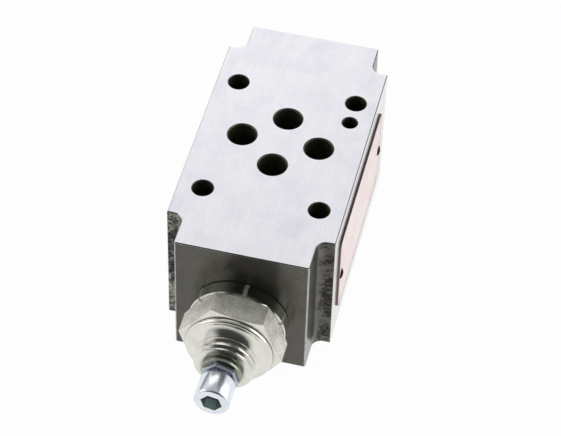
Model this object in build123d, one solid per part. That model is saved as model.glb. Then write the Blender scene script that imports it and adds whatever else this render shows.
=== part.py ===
from build123d import *
from math import cos, pi, radians, sqrt, tan
import os

# Sandwich plate relief valve, size 03 hole pattern. Millimetres, +Z up.
# Origin: centre of the bolt pattern on the bottom face. The valve axis runs along X,
# with the adjuster at -X. Each (x, r) outline below is turned about the valve axis.

# Housing block
BODY_HEIGHT = 40.0
FRONT_REACH = 40.4
REAR_REACH = 42.7
WIDE_FRONT = 30.6
WIDE_REAR = 33.3
WIDE_WIDTH = 44.4
END_WIDTH = 35.4
NOTCH_FILLET_SHARE = 0.6
END_CORNER_RADIUS = 0.5
TOP_EDGE_BREAK = 0.3
BOTTOM_EDGE_BREAK = 0.8
AXIS_HEIGHT = 16.7

# Standard hole pattern, seen from above, measured from the pattern centre
BOLT_X = 20.25
BOLT_Y_FRONT = 15.5
BOLT_Y_REAR = 16.25
BOLT_BORE = 5.5
PORT_BORE = 7.5
TANK_PORT = (1.25, 10.4)
PRESSURE_PORT = (1.25, -10.4)
FRONT_PORT = (-7.55, 0.0)
REAR_PORT = (9.95, 0.0)
PIN_HOLE = (12.75, -16.25)
PIN_BORE = 4.0
PIN_DEPTH = 8.0
BORE_EDGE_BREAK = 0.25

# Port seals in the bottom face
SEAL_RECESS_BORE = 12.4
SEAL_RECESS_DEPTH = 1.4
SEAL_GAP = 0.03

# Cavity for the cartridge
MOUTH_BORE = 23.2
MOUTH_DEPTH = 1.8
THREAD_BORE = 20.0
THREAD_BORE_DEPTH = 17.0
NOSE_BORE = 16.0
NOSE_BORE_DEPTH = 25.2
INLET_BORE = 5.0

# Tank gallery, drilled from the rear end
GALLERY_BORE = 4.5
GALLERY_Y = 9.0
GALLERY_RISE = 6.5
GALLERY_PAST_CHAMBER = 1.6
PLUG_BORE = 8.0
PLUG_DEPTH = 8.5
PLUG_LENGTH = 7.0
PLUG_SINK = 0.8
PLUG_SOCKET = 4.0
PLUG_SOCKET_DEPTH = 3.5

# Clearances
STATIC_FIT = 0.05
RUNNING_FIT = 0.05
CAVITY_END_GAP = 0.5

# Cartridge sleeve, outside
COLLAR_DIAMETER = 25.8
COLLAR_LENGTH = 4.0
COLLAR_EDGE = 0.3
HEX_ACROSS_FLATS = 24.0
HEX_LENGTH = 7.5
HEX_CHAMFER = 0.7
HEX_TURN = 8.4
RING_DIAMETER = 23.2
RING_LENGTH = 1.3
RING_EDGE_RADIUS = 0.7
SHOULDER_DIAMETER = 20.4
SHOULDER_RISE = 1.3
CAP_THREAD = 16.0
CAP_UNDERCUT = 14.2
CAP_UNDERCUT_LENGTH = 0.6
CAP_THREAD_LENGTH = 4.0
CAP_CHAMFER = 0.7
COLLAR_UNDERCUT = 18.0
BODY_THREAD_LENGTH = 11.6
NECK_DIAMETER = 14.0
CROSS_HOLE = 2.6
CROSS_HOLE_COUNT = 4
NOSE_CHAMFER = 0.5
NOSE_GROOVE_SETBACK = 2.1
NOSE_GROOVE_WIDTH = 2.6
NOSE_GROOVE_ROOT = 13.2
NOSE_LAND = 2.4

# Cartridge sleeve, inside
CHAMBER_BORE = 10.6
SEAT_POCKET_BORE = 11.2
RETAINER_SETBACK = 0.6
RETAINER_THICKNESS = 0.8
RETAINER_DEPTH = 0.4
RETAINER_WIDTH = 1.1
RETAINER_OPEN_ANGLE = 40.0
RING_SLACK = 0.05

# Seat and poppet
SEAT_LENGTH = 3.8
SEAT_BORE = 4.5
SEAT_LEAD_IN = 0.6
SEAT_LINE_GAP = 0.05
CONE_HALF_ANGLE = 30.0
CONE_TIP = 1.5
POPPET_DIAMETER = 7.6
POPPET_BODY_LENGTH = 2.5
FLANGE_LENGTH = 2.0
FLANGE_FLAT = 4.3
FLANGE_FLAT_COUNT = 3
PILOT_DIAMETER = 5.2
POPPET_PILOT_LENGTH = 4.7
PILOT_CHAMFER = 0.5

# Pressure spring
SPRING_LENGTH = 15.2
SPRING_MEAN_DIAMETER = 8.0
SPRING_WIRE = 1.5
SPRING_TURNS = 6.0

# Spring plate and its seal
PLATE_LENGTH = 4.5
PLATE_PILOT_LENGTH = 4.0
PLATE_GROOVE_WIDTH = 1.7
PLATE_GROOVE_ROOT = 7.8
BALL_DIAMETER = 3.2
BALL_POCKET_SLACK = 0.1
BALL_SINK = 1.3

# Adjusting screw, lock nut and seal washer
SCREW_THREAD = 6.0
SCREW_TRAVEL_OUT = 3.5
HEAD_DIAMETER = 9.4
HEAD_LENGTH = 6.8
HEAD_CHAMFER = 0.6
HEAD_GAP = 1.15
HEX_SOCKET = 5.0
HEX_SOCKET_DEPTH = 3.2
HEX_SOCKET_TURN = 12.0
STOP_RING_THICKNESS = 0.7
STOP_RING_DIAMETER = 8.8
STOP_RING_GROOVE = 5.2
STOP_RING_OPEN_ANGLE = 70.0
STOP_RING_GAP = 0.2
WASHER_DIAMETER = 10.8
WASHER_THICKNESS = 1.6
WASHER_EDGE = 0.25
NUT_ACROSS_FLATS = 8.8
NUT_THICKNESS = 1.65
NUT_CHAMFER = 0.25
NUT_TURN = 17.2

# Nameplate on the -Y side
LABEL_LENGTH = 53.0
LABEL_HEIGHT = 22.0
LABEL_THICKNESS = 0.5
LABEL_CORNER = 2.5
LABEL_X = 0.6
LABEL_Z = 20.0
RIVET_SPACING = 46.4
RIVET_HEAD = 3.0
RIVET_HEAD_HEIGHT = 0.5
RIVET_SHANK = 2.0
RIVET_DEPTH = 2.8
RIVET_HOLE_END_GAP = 0.4

# The notch fillet takes its share of the notch's depth and leaves the rest straight
NOTCH_RADIUS = NOTCH_FILLET_SHARE * (WIDE_WIDTH - END_WIDTH) / 2

# Stations along the valve axis, each following from the sizes above
FRONT_X = -FRONT_REACH
THREAD_BORE_X = FRONT_X + THREAD_BORE_DEPTH
CAVITY_X = FRONT_X + NOSE_BORE_DEPTH
NOSE_X = CAVITY_X - CAVITY_END_GAP
HEX_BACK_X = FRONT_X - COLLAR_LENGTH
HEX_FRONT_X = HEX_BACK_X - HEX_LENGTH
RING_X = HEX_FRONT_X - RING_LENGTH
CAP_ROOT_X = RING_X - SHOULDER_RISE
CAP_START_X = CAP_ROOT_X - CAP_UNDERCUT_LENGTH
CAP_END_X = CAP_START_X - CAP_THREAD_LENGTH

RETAINER_X = NOSE_X - RETAINER_SETBACK
SEAT_INLET_X = RETAINER_X - RETAINER_THICKNESS
SEAT_X = SEAT_INLET_X - SEAT_LENGTH
CONE_SLOPE = tan(radians(CONE_HALF_ANGLE))
SEAT_CONTACT_RADIUS = SEAT_BORE / 2 - SEAT_LINE_GAP
CONE_END_X = SEAT_X - (POPPET_DIAMETER / 2 - SEAT_CONTACT_RADIUS) / CONE_SLOPE
CONE_TIP_X = SEAT_X + (SEAT_CONTACT_RADIUS - CONE_TIP / 2) / CONE_SLOPE
FLANGE_X = CONE_END_X - POPPET_BODY_LENGTH
SPRING_START_X = FLANGE_X - FLANGE_LENGTH
SPRING_END_X = SPRING_START_X - SPRING_LENGTH
PLATE_BACK_X = SPRING_END_X - PLATE_LENGTH
BALL_X = PLATE_BACK_X + BALL_SINK - BALL_DIAMETER / 2
SCREW_TIP_X = BALL_X - BALL_DIAMETER / 2 + BALL_SINK
STOP_RING_X = SCREW_TIP_X - BALL_SINK - STOP_RING_THICKNESS
CHAMBER_END_X = STOP_RING_X - SCREW_TRAVEL_OUT - STOP_RING_GAP
WASHER_FRONT_X = CAP_END_X - WASHER_THICKNESS
NUT_FRONT_X = WASHER_FRONT_X - NUT_THICKNESS
HEAD_BACK_X = NUT_FRONT_X - HEAD_GAP
HEAD_FRONT_X = HEAD_BACK_X - HEAD_LENGTH

NOSE_RADIUS = NOSE_BORE / 2 - STATIC_FIT
GROOVE_FRONT_X = NOSE_X - NOSE_GROOVE_SETBACK
GROOVE_BACK_X = GROOVE_FRONT_X - NOSE_GROOVE_WIDTH
NECK_START_X = GROOVE_BACK_X - NOSE_LAND
BODY_THREAD_START_X = FRONT_X + MOUTH_DEPTH + BODY_THREAD_LENGTH
CROSS_HOLE_X = (NECK_START_X + BODY_THREAD_START_X) / 2
BORE_THREAD_RADIUS = SCREW_THREAD / 2 + RUNNING_FIT
CHAMBER_FIT_RADIUS = CHAMBER_BORE / 2 - RUNNING_FIT
LABEL_FACE_Y = -WIDE_WIDTH / 2
RIVET_XS = (LABEL_X - RIVET_SPACING / 2, LABEL_X + RIVET_SPACING / 2)
BOLT_POINTS = [
    (-BOLT_X, BOLT_Y_FRONT),
    (BOLT_X, BOLT_Y_REAR),
    (BOLT_X, -BOLT_Y_REAR),
    (-BOLT_X, -BOLT_Y_FRONT),
]
PORT_POINTS = [PRESSURE_PORT, FRONT_PORT, REAR_PORT, TANK_PORT]


def turned(*points):
    """Solid of revolution of an (x, r) outline about the valve axis."""
    outline = make_face(Polyline(*points, close=True))
    return Pos(0, 0, AXIS_HEIGHT) * revolve(outline, Axis.X)


def drilled(diameter, x_from, x_to, y=0.0, rise=0.0):
    """Cylinder along X between two stations, offset from the valve axis."""
    length = abs(x_to - x_from)
    middle = (x_from + x_to) / 2
    return Pos(middle, y, AXIS_HEIGHT + rise) * Rot(0, 90, 0) * Cylinder(diameter / 2, length)


def hex_prism(across_flats, x_from, x_to, turn, y=0.0, rise=0.0):
    """Hexagonal prism along X, its first corner turned from +Y towards +Z."""
    profile = Plane.YZ * RegularPolygon(across_flats / 2, 6, major_radius=False, rotation=turn)
    start = min(x_from, x_to)
    return Pos(start, y, AXIS_HEIGHT + rise) * extrude(profile, abs(x_to - x_from), dir=(1, 0, 0))


def ring_seal(x, inner_radius, outer_radius, gap=SEAL_GAP):
    """Round-section seal that fills the radial space between two walls but for a gap."""
    section = (outer_radius - inner_radius) / 2 - gap
    centre = (outer_radius + inner_radius) / 2
    return Pos(x, 0, AXIS_HEIGHT) * Rot(0, 90, 0) * Torus(centre, section)


def open_ring(x_from, x_to, inner_radius, outer_radius, open_angle):
    """Flat snap ring with a gap that faces up."""
    ring = turned((x_from, inner_radius), (x_to, inner_radius), (x_to, outer_radius), (x_from, outer_radius))
    reach = 2 * outer_radius
    half = reach * tan(radians(open_angle / 2))
    wedge = make_face(Polyline((0, 0), (half, reach), (-half, reach), close=True))
    cutter = extrude(Plane.YZ * wedge, abs(x_to - x_from) + 2, dir=(1, 0, 0))
    return ring - Pos(min(x_from, x_to) - 1, 0, AXIS_HEIGHT) * cutter


def housing_outline():
    """Plan view of the block: wide middle with a narrower end on each side."""
    wide = Pos((WIDE_REAR - WIDE_FRONT) / 2, 0) * Rectangle(WIDE_FRONT + WIDE_REAR, WIDE_WIDTH)
    ends = Pos((REAR_REACH - FRONT_REACH) / 2, 0) * Rectangle(FRONT_REACH + REAR_REACH, END_WIDTH)
    outline = wide + ends
    inner = [
        v for v in outline.vertices()
        if abs(abs(v.Y) - END_WIDTH / 2) < 0.01 and (abs(v.X + WIDE_FRONT) < 0.01 or abs(v.X - WIDE_REAR) < 0.01)
    ]
    return fillet(inner, NOTCH_RADIUS)


def cartridge_cavity():
    """Stepped bore for the cartridge and the short inlet into the front port."""
    mouth_x = FRONT_X + MOUTH_DEPTH
    cavity = turned(
        (FRONT_X - 1, 0),
        (FRONT_X - 1, MOUTH_BORE / 2),
        (mouth_x, MOUTH_BORE / 2),
        (mouth_x, THREAD_BORE / 2),
        (THREAD_BORE_X, THREAD_BORE / 2),
        (THREAD_BORE_X, NOSE_BORE / 2),
        (CAVITY_X, NOSE_BORE / 2),
        (CAVITY_X, 0),
    )
    return cavity + drilled(INLET_BORE, CAVITY_X - 1, FRONT_PORT[0])


def tank_gallery():
    """Drilling from the rear end through the tank port into the cartridge's outlet chamber."""
    end_x = THREAD_BORE_X - GALLERY_PAST_CHAMBER
    gallery = drilled(GALLERY_BORE, end_x, REAR_REACH + 1, GALLERY_Y, GALLERY_RISE)
    mouth = drilled(PLUG_BORE, REAR_REACH - PLUG_DEPTH, REAR_REACH + 1, GALLERY_Y, GALLERY_RISE)
    return gallery + mouth


def through_bores():
    """Port and bolt bores with a light edge break at both faces."""
    bores = Part()
    for points, bore in ((PORT_POINTS, PORT_BORE), (BOLT_POINTS, BOLT_BORE)):
        radius = bore / 2
        flare = Cone(radius + BORE_EDGE_BREAK, radius, BORE_EDGE_BREAK, align=(Align.CENTER, Align.CENTER, Align.MIN))
        for x, y in points:
            bores += Pos(x, y, BODY_HEIGHT / 2) * Cylinder(radius, BODY_HEIGHT + 2)
            bores += Pos(x, y, BODY_HEIGHT) * Rot(180, 0, 0) * flare
            if bore == BOLT_BORE:
                bores += Pos(x, y, 0) * flare
    return bores


def build_housing():
    """Block with its ports, seal recesses, cartridge cavity and gallery."""
    block = extrude(housing_outline(), BODY_HEIGHT)
    block = chamfer(block.faces().sort_by(Axis.Z)[-1].outer_wire().edges(), TOP_EDGE_BREAK)
    block = chamfer(block.faces().sort_by(Axis.Z)[0].outer_wire().edges(), BOTTOM_EDGE_BREAK)
    upright = [edge for edge in block.edges().filter_by(Axis.Z) if edge.length > BODY_HEIGHT / 2]
    ends = (-FRONT_REACH, REAR_REACH)
    block = fillet([edge for edge in upright if min(abs(edge.center().X - x) for x in ends) < 0.01], END_CORNER_RADIUS)
    block -= through_bores()
    for x, y in PORT_POINTS:
        block -= Pos(x, y, SEAL_RECESS_DEPTH / 2 - 0.5) * Cylinder(SEAL_RECESS_BORE / 2, SEAL_RECESS_DEPTH + 1)
    pin_x, pin_y = PIN_HOLE
    point = PIN_BORE / 2
    block -= Pos(pin_x, pin_y, BODY_HEIGHT - PIN_DEPTH / 2 + 0.5) * Cylinder(PIN_BORE / 2, PIN_DEPTH + 1)
    block -= Pos(pin_x, pin_y, BODY_HEIGHT - PIN_DEPTH - point / 4) * Cone(point / 4, point, point / 2)
    block -= cartridge_cavity()
    block -= tank_gallery()
    hole_depth = RIVET_DEPTH + RIVET_HOLE_END_GAP
    for x in RIVET_XS:
        hole = Rot(90, 0, 0) * Cylinder(RIVET_SHANK / 2 + STATIC_FIT, hole_depth * 2)
        block -= Pos(x, LABEL_FACE_Y, LABEL_Z) * hole
    return block


def build_port_seals():
    """Four round seals, drawn squeezed level with the bottom face."""
    section = SEAL_RECESS_DEPTH / 2 - SEAL_GAP
    centre = SEAL_RECESS_BORE / 2 - section - SEAL_GAP
    return [Pos(x, y, SEAL_RECESS_DEPTH / 2) * Torus(centre, section) for x, y in PORT_POINTS]


def build_sleeve():
    """Turned cartridge body: nose, threads, collar, hexagon and cap thread in one piece."""
    groove = NOSE_GROOVE_ROOT / 2
    thread = THREAD_BORE / 2 - STATIC_FIT
    nose = turned(
        (NOSE_X, 0),
        (NOSE_X, NOSE_RADIUS - NOSE_CHAMFER),
        (NOSE_X - NOSE_CHAMFER, NOSE_RADIUS),
        (GROOVE_FRONT_X, NOSE_RADIUS),
        (GROOVE_FRONT_X, groove),
        (GROOVE_BACK_X, groove),
        (GROOVE_BACK_X, NOSE_RADIUS),
        (NECK_START_X, NOSE_RADIUS),
        (NECK_START_X, NECK_DIAMETER / 2),
        (BODY_THREAD_START_X, NECK_DIAMETER / 2),
        (BODY_THREAD_START_X, thread - NOSE_CHAMFER),
        (BODY_THREAD_START_X - NOSE_CHAMFER, thread),
        (FRONT_X + MOUTH_DEPTH, thread),
        (FRONT_X + MOUTH_DEPTH, COLLAR_UNDERCUT / 2),
        (FRONT_X, COLLAR_UNDERCUT / 2),
        (FRONT_X, 0),
    )
    collar = turned(
        (FRONT_X, 0),
        (FRONT_X, COLLAR_DIAMETER / 2 - COLLAR_EDGE),
        (FRONT_X - COLLAR_EDGE, COLLAR_DIAMETER / 2),
        (HEX_BACK_X + COLLAR_EDGE, COLLAR_DIAMETER / 2),
        (HEX_BACK_X, COLLAR_DIAMETER / 2 - COLLAR_EDGE),
        (HEX_BACK_X, 0),
    )
    sleeve = nose + collar + build_sleeve_hexagon() + build_cap_thread()
    sleeve -= turned(
        (NOSE_X + 1, 0),
        (NOSE_X + 1, SEAT_POCKET_BORE / 2),
        (RETAINER_X, SEAT_POCKET_BORE / 2),
        (RETAINER_X, SEAT_POCKET_BORE / 2 + RETAINER_DEPTH),
        (SEAT_INLET_X, SEAT_POCKET_BORE / 2 + RETAINER_DEPTH),
        (SEAT_INLET_X, SEAT_POCKET_BORE / 2),
        (SEAT_X, SEAT_POCKET_BORE / 2),
        (SEAT_X, CHAMBER_BORE / 2),
        (CHAMBER_END_X, CHAMBER_BORE / 2),
        (CHAMBER_END_X, BORE_THREAD_RADIUS),
        (CAP_END_X - 1, BORE_THREAD_RADIUS),
        (CAP_END_X - 1, 0),
    )
    hole = Pos(0, 0, NECK_DIAMETER / 2) * Cylinder(CROSS_HOLE / 2, NECK_DIAMETER)
    for i in range(CROSS_HOLE_COUNT):
        turn = 360 / CROSS_HOLE_COUNT * (i + 0.5)
        sleeve -= Pos(CROSS_HOLE_X, 0, AXIS_HEIGHT) * Rot(turn, 0, 0) * hole
    return sleeve


def build_sleeve_hexagon():
    """Spanner hexagon with its corners turned back at both ends."""
    flat = HEX_ACROSS_FLATS / 2
    corner = flat / cos(pi / 6)
    limits = turned(
        (HEX_BACK_X, 0),
        (HEX_BACK_X, flat),
        (HEX_BACK_X - HEX_CHAMFER, corner),
        (HEX_FRONT_X + HEX_CHAMFER, corner),
        (HEX_FRONT_X, flat - HEX_CHAMFER / 2),
        (HEX_FRONT_X, 0),
    )
    return hex_prism(HEX_ACROSS_FLATS, HEX_BACK_X, HEX_FRONT_X, HEX_TURN) & limits


def build_cap_thread():
    """Rounded ring in front of the hexagon, hollow shoulder and the thread for a cap."""
    ring = RING_DIAMETER / 2
    cap = CAP_THREAD / 2
    root = CAP_UNDERCUT / 2
    corner = RING_EDGE_RADIUS * (1 - cos(pi / 4))
    hollow_x = (RING_X + CAP_ROOT_X) / 2 + SHOULDER_RISE / 5
    hollow_r = (SHOULDER_DIAMETER / 2 + root) / 2 - SHOULDER_RISE / 5
    line = Polyline((HEX_FRONT_X, 0), (HEX_FRONT_X, ring), (RING_X + RING_EDGE_RADIUS, ring))
    line += ThreePointArc(
        (RING_X + RING_EDGE_RADIUS, ring), (RING_X + corner, ring - corner), (RING_X, ring - RING_EDGE_RADIUS)
    )
    line += Line((RING_X, ring - RING_EDGE_RADIUS), (RING_X, SHOULDER_DIAMETER / 2))
    line += ThreePointArc((RING_X, SHOULDER_DIAMETER / 2), (hollow_x, hollow_r), (CAP_ROOT_X, root))
    line += Polyline(
        (CAP_ROOT_X, root),
        (CAP_START_X, root),
        (CAP_START_X - (cap - root) / 2, cap),
        (CAP_END_X + CAP_CHAMFER, cap),
        (CAP_END_X, cap - CAP_CHAMFER * 1.4),
        (CAP_END_X, 0),
        (HEX_FRONT_X, 0),
    )
    return Pos(0, 0, AXIS_HEIGHT) * revolve(make_face(line), Axis.X)


def build_collar_seal():
    """Seal in the mouth of the cavity, under the collar."""
    section = MOUTH_DEPTH / 2 - SEAL_GAP
    centre = (MOUTH_BORE + COLLAR_UNDERCUT) / 4
    return Pos(FRONT_X + MOUTH_DEPTH / 2, 0, AXIS_HEIGHT) * Rot(0, 90, 0) * Torus(centre, section)


def nose_seal_section():
    """Section radius of the nose seal."""
    return (NOSE_BORE - NOSE_GROOVE_ROOT) / 4 - SEAL_GAP


def build_nose_seal():
    """Seal on the nose, on the pressure side of its groove."""
    x = GROOVE_FRONT_X - nose_seal_section() - SEAL_GAP
    return ring_seal(x, NOSE_GROOVE_ROOT / 2, NOSE_BORE / 2)


def build_nose_backup_ring():
    """Flat ring behind the nose seal."""
    x_front = GROOVE_FRONT_X - 2 * nose_seal_section() - 2 * SEAL_GAP
    x_back = GROOVE_BACK_X + SEAL_GAP
    inner = NOSE_GROOVE_ROOT / 2 + STATIC_FIT
    return turned((x_front, inner), (x_back, inner), (x_back, NOSE_RADIUS), (x_front, NOSE_RADIUS))


def build_seat():
    """Hardened seat with a flared inlet; its inner edge is the sealing line."""
    outer = SEAT_POCKET_BORE / 2 - STATIC_FIT
    bore = SEAT_BORE / 2
    return turned(
        (SEAT_INLET_X, bore + SEAT_LEAD_IN),
        (SEAT_INLET_X, outer),
        (SEAT_X, outer),
        (SEAT_X, bore),
        (SEAT_INLET_X - SEAT_LEAD_IN, bore),
    )


def build_seat_retainer():
    """Snap ring that holds the seat in the nose."""
    outer = SEAT_POCKET_BORE / 2 + RETAINER_DEPTH - RING_SLACK
    inner = SEAT_POCKET_BORE / 2 - RETAINER_WIDTH
    return open_ring(RETAINER_X, SEAT_INLET_X, inner, outer, RETAINER_OPEN_ANGLE)


def build_poppet():
    """Cone poppet with a flatted guide flange and a pilot for the spring."""
    pilot = PILOT_DIAMETER / 2
    pilot_x = SPRING_START_X - POPPET_PILOT_LENGTH
    poppet = turned(
        (CONE_TIP_X, 0),
        (CONE_TIP_X, CONE_TIP / 2),
        (CONE_END_X, POPPET_DIAMETER / 2),
        (FLANGE_X, POPPET_DIAMETER / 2),
        (FLANGE_X, CHAMBER_FIT_RADIUS),
        (SPRING_START_X, CHAMBER_FIT_RADIUS),
        (SPRING_START_X, pilot),
        (pilot_x + PILOT_CHAMFER, pilot),
        (pilot_x, pilot - PILOT_CHAMFER),
        (pilot_x, 0),
    )
    side = 2 * CHAMBER_BORE
    flat = Pos(0, 0, FLANGE_FLAT + side / 2) * Box(FLANGE_LENGTH + 0.02, side, side)
    for i in range(FLANGE_FLAT_COUNT):
        turn = 360 / FLANGE_FLAT_COUNT * i
        poppet -= Pos((FLANGE_X + SPRING_START_X) / 2, 0, AXIS_HEIGHT) * Rot(turn, 0, 0) * flat
    return poppet


def build_spring():
    """Compression spring with both ends ground flat."""
    pitch = SPRING_LENGTH / SPRING_TURNS
    path = Helix(pitch, SPRING_LENGTH + pitch, SPRING_MEAN_DIAMETER / 2)
    wire = Plane(origin=path @ 0, z_dir=path % 0) * Circle(SPRING_WIRE / 2)
    coil = Pos(0, 0, -pitch / 2) * sweep(wire, path)
    space = Pos(0, 0, SPRING_LENGTH / 2) * Cylinder(SPRING_MEAN_DIAMETER, SPRING_LENGTH)
    return Pos(SPRING_END_X, 0, AXIS_HEIGHT) * Rot(0, 90, 0) * (coil & space)


def build_spring_plate():
    """Sealed piston that carries the spring and is pushed by the adjusting screw."""
    pilot = PILOT_DIAMETER / 2
    pilot_x = SPRING_END_X + PLATE_PILOT_LENGTH
    groove_x = (SPRING_END_X + PLATE_BACK_X) / 2
    half = PLATE_GROOVE_WIDTH / 2
    plate = turned(
        (pilot_x, 0),
        (pilot_x, pilot - PILOT_CHAMFER),
        (pilot_x - PILOT_CHAMFER, pilot),
        (SPRING_END_X, pilot),
        (SPRING_END_X, CHAMBER_FIT_RADIUS),
        (groove_x + half, CHAMBER_FIT_RADIUS),
        (groove_x + half, PLATE_GROOVE_ROOT / 2),
        (groove_x - half, PLATE_GROOVE_ROOT / 2),
        (groove_x - half, CHAMBER_FIT_RADIUS),
        (PLATE_BACK_X, CHAMBER_FIT_RADIUS),
        (PLATE_BACK_X, 0),
    )
    pocket = BALL_DIAMETER + 2 * BALL_POCKET_SLACK
    return plate - drilled(pocket, PLATE_BACK_X - 1, PLATE_BACK_X + BALL_SINK)


def build_plate_seal():
    """Seal in the spring plate's groove."""
    return ring_seal((SPRING_END_X + PLATE_BACK_X) / 2, PLATE_GROOVE_ROOT / 2, CHAMBER_BORE / 2)


def build_thrust_ball():
    """Ball that lets the screw turn on the spring plate."""
    return Pos(BALL_X, 0, AXIS_HEIGHT) * Sphere(BALL_DIAMETER / 2)


def build_adjusting_screw():
    """Screw with a round head, a hexagon socket and a groove for its stop ring."""
    shank = SCREW_THREAD / 2
    head = HEAD_DIAMETER / 2
    groove = STOP_RING_GROOVE / 2
    edge = HEAD_CHAMFER / 3
    screw = turned(
        (SCREW_TIP_X, 0),
        (SCREW_TIP_X, groove),
        (STOP_RING_X, groove),
        (STOP_RING_X, shank),
        (HEAD_BACK_X, shank),
        (HEAD_BACK_X, head - edge),
        (HEAD_BACK_X - edge, head),
        (HEAD_FRONT_X + HEAD_CHAMFER, head),
        (HEAD_FRONT_X, head - HEAD_CHAMFER),
        (HEAD_FRONT_X, 0),
    )
    floor_x = HEAD_FRONT_X + HEX_SOCKET_DEPTH
    screw -= hex_prism(HEX_SOCKET, HEAD_FRONT_X - 1, floor_x, HEX_SOCKET_TURN)
    screw -= turned((floor_x - 0.01, 0), (floor_x - 0.01, HEX_SOCKET / 2), (floor_x + HEX_SOCKET / 6, 0))
    pocket = BALL_DIAMETER + 2 * BALL_POCKET_SLACK
    return screw - drilled(pocket, SCREW_TIP_X + 1, SCREW_TIP_X - BALL_SINK)


def build_stop_ring():
    """Snap ring that keeps the screw from being wound right out."""
    inner = STOP_RING_GROOVE / 2 + RING_SLACK
    x_front = STOP_RING_X + STOP_RING_THICKNESS
    return open_ring(STOP_RING_X, x_front, inner, STOP_RING_DIAMETER / 2, STOP_RING_OPEN_ANGLE)


def build_seal_washer():
    """Round washer that seals the screw thread under the lock nut."""
    outer = WASHER_DIAMETER / 2
    return turned(
        (CAP_END_X, BORE_THREAD_RADIUS),
        (CAP_END_X, outer - WASHER_EDGE),
        (CAP_END_X - WASHER_EDGE, outer),
        (WASHER_FRONT_X + WASHER_EDGE, outer),
        (WASHER_FRONT_X, outer - WASHER_EDGE),
        (WASHER_FRONT_X, BORE_THREAD_RADIUS),
    )


def build_lock_nut():
    """Thin lock nut with chamfered corners on its free side."""
    flat = NUT_ACROSS_FLATS / 2
    corner = flat / cos(pi / 6)
    limits = turned(
        (WASHER_FRONT_X, BORE_THREAD_RADIUS),
        (WASHER_FRONT_X, corner),
        (NUT_FRONT_X + NUT_CHAMFER, corner),
        (NUT_FRONT_X, flat),
        (NUT_FRONT_X, BORE_THREAD_RADIUS),
    )
    return hex_prism(NUT_ACROSS_FLATS, WASHER_FRONT_X, NUT_FRONT_X, NUT_TURN) & limits


def build_gallery_plug():
    """Socket plug that closes the tank gallery in the rear face."""
    front = REAR_REACH - PLUG_SINK
    radius = PLUG_BORE / 2 - STATIC_FIT
    plug = Cylinder(radius, PLUG_LENGTH)
    plug = chamfer(plug.edges().filter_by(GeomType.CIRCLE), NOSE_CHAMFER)
    plug = Pos(front - PLUG_LENGTH / 2, GALLERY_Y, AXIS_HEIGHT + GALLERY_RISE) * Rot(0, 90, 0) * plug
    return plug - hex_prism(PLUG_SOCKET, front - PLUG_SOCKET_DEPTH, front + 1, 0, GALLERY_Y, GALLERY_RISE)


def build_nameplate():
    """Thin plate on the side face, held by two rivets."""
    sketch = RectangleRounded(LABEL_LENGTH, LABEL_HEIGHT, LABEL_CORNER)
    for x in RIVET_XS:
        sketch -= Pos(x - LABEL_X, 0) * Circle(RIVET_SHANK / 2 + STATIC_FIT)
    plate = extrude(Plane.XZ * sketch, LABEL_THICKNESS)
    return Pos(LABEL_X, LABEL_FACE_Y, LABEL_Z) * plate


def build_rivets():
    """Two drive rivets with low domed heads."""
    face_y = LABEL_FACE_Y - LABEL_THICKNESS
    head = RIVET_HEAD / 2
    rise = RIVET_HEAD_HEIGHT
    depth = RIVET_DEPTH + LABEL_THICKNESS
    shank = RIVET_SHANK / 2
    profile = Polyline((0, rise), (0, -depth), (shank, -depth), (shank, 0), (head, 0))
    dome = (head**2 + rise**2) / (2 * rise)
    profile += ThreePointArc((head, 0), (head / 2, sqrt(dome**2 - head**2 / 4) - dome + rise), (0, rise))
    rivet = Rot(90, 0, 0) * revolve(Plane.XZ * make_face(profile), Axis.Z)
    return [Pos(x, face_y, LABEL_Z) * rivet for x in RIVET_XS]


def main():
    os.makedirs("parts", exist_ok=True)
    nodes = {
        "housing": build_housing(),
        "port_seals": Compound(children=build_port_seals()),
        "cartridge_sleeve": build_sleeve(),
        "collar_seal": build_collar_seal(),
        "nose_seal": build_nose_seal(),
        "nose_backup_ring": build_nose_backup_ring(),
        "valve_seat": build_seat(),
        "seat_retainer": build_seat_retainer(),
        "poppet": build_poppet(),
        "pressure_spring": build_spring(),
        "spring_plate": build_spring_plate(),
        "spring_plate_seal": build_plate_seal(),
        "thrust_ball": build_thrust_ball(),
        "adjusting_screw": build_adjusting_screw(),
        "screw_stop_ring": build_stop_ring(),
        "seal_washer": build_seal_washer(),
        "lock_nut": build_lock_nut(),
        "gallery_plug": build_gallery_plug(),
        "nameplate": build_nameplate(),
        "nameplate_rivets": Compound(children=build_rivets()),
    }
    for name, shape in nodes.items():
        export_step(shape, f"parts/{name}.step")


if __name__ == "__main__":
    main()
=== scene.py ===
"""Hydraulic sandwich valve: fine shapes, finishes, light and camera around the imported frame."""
import logging
import math
from dataclasses import dataclass
from enum import Enum
from itertools import product
from typing import Any, Callable, Sequence

import bmesh
import bpy
from mathutils import Matrix, Vector


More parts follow.
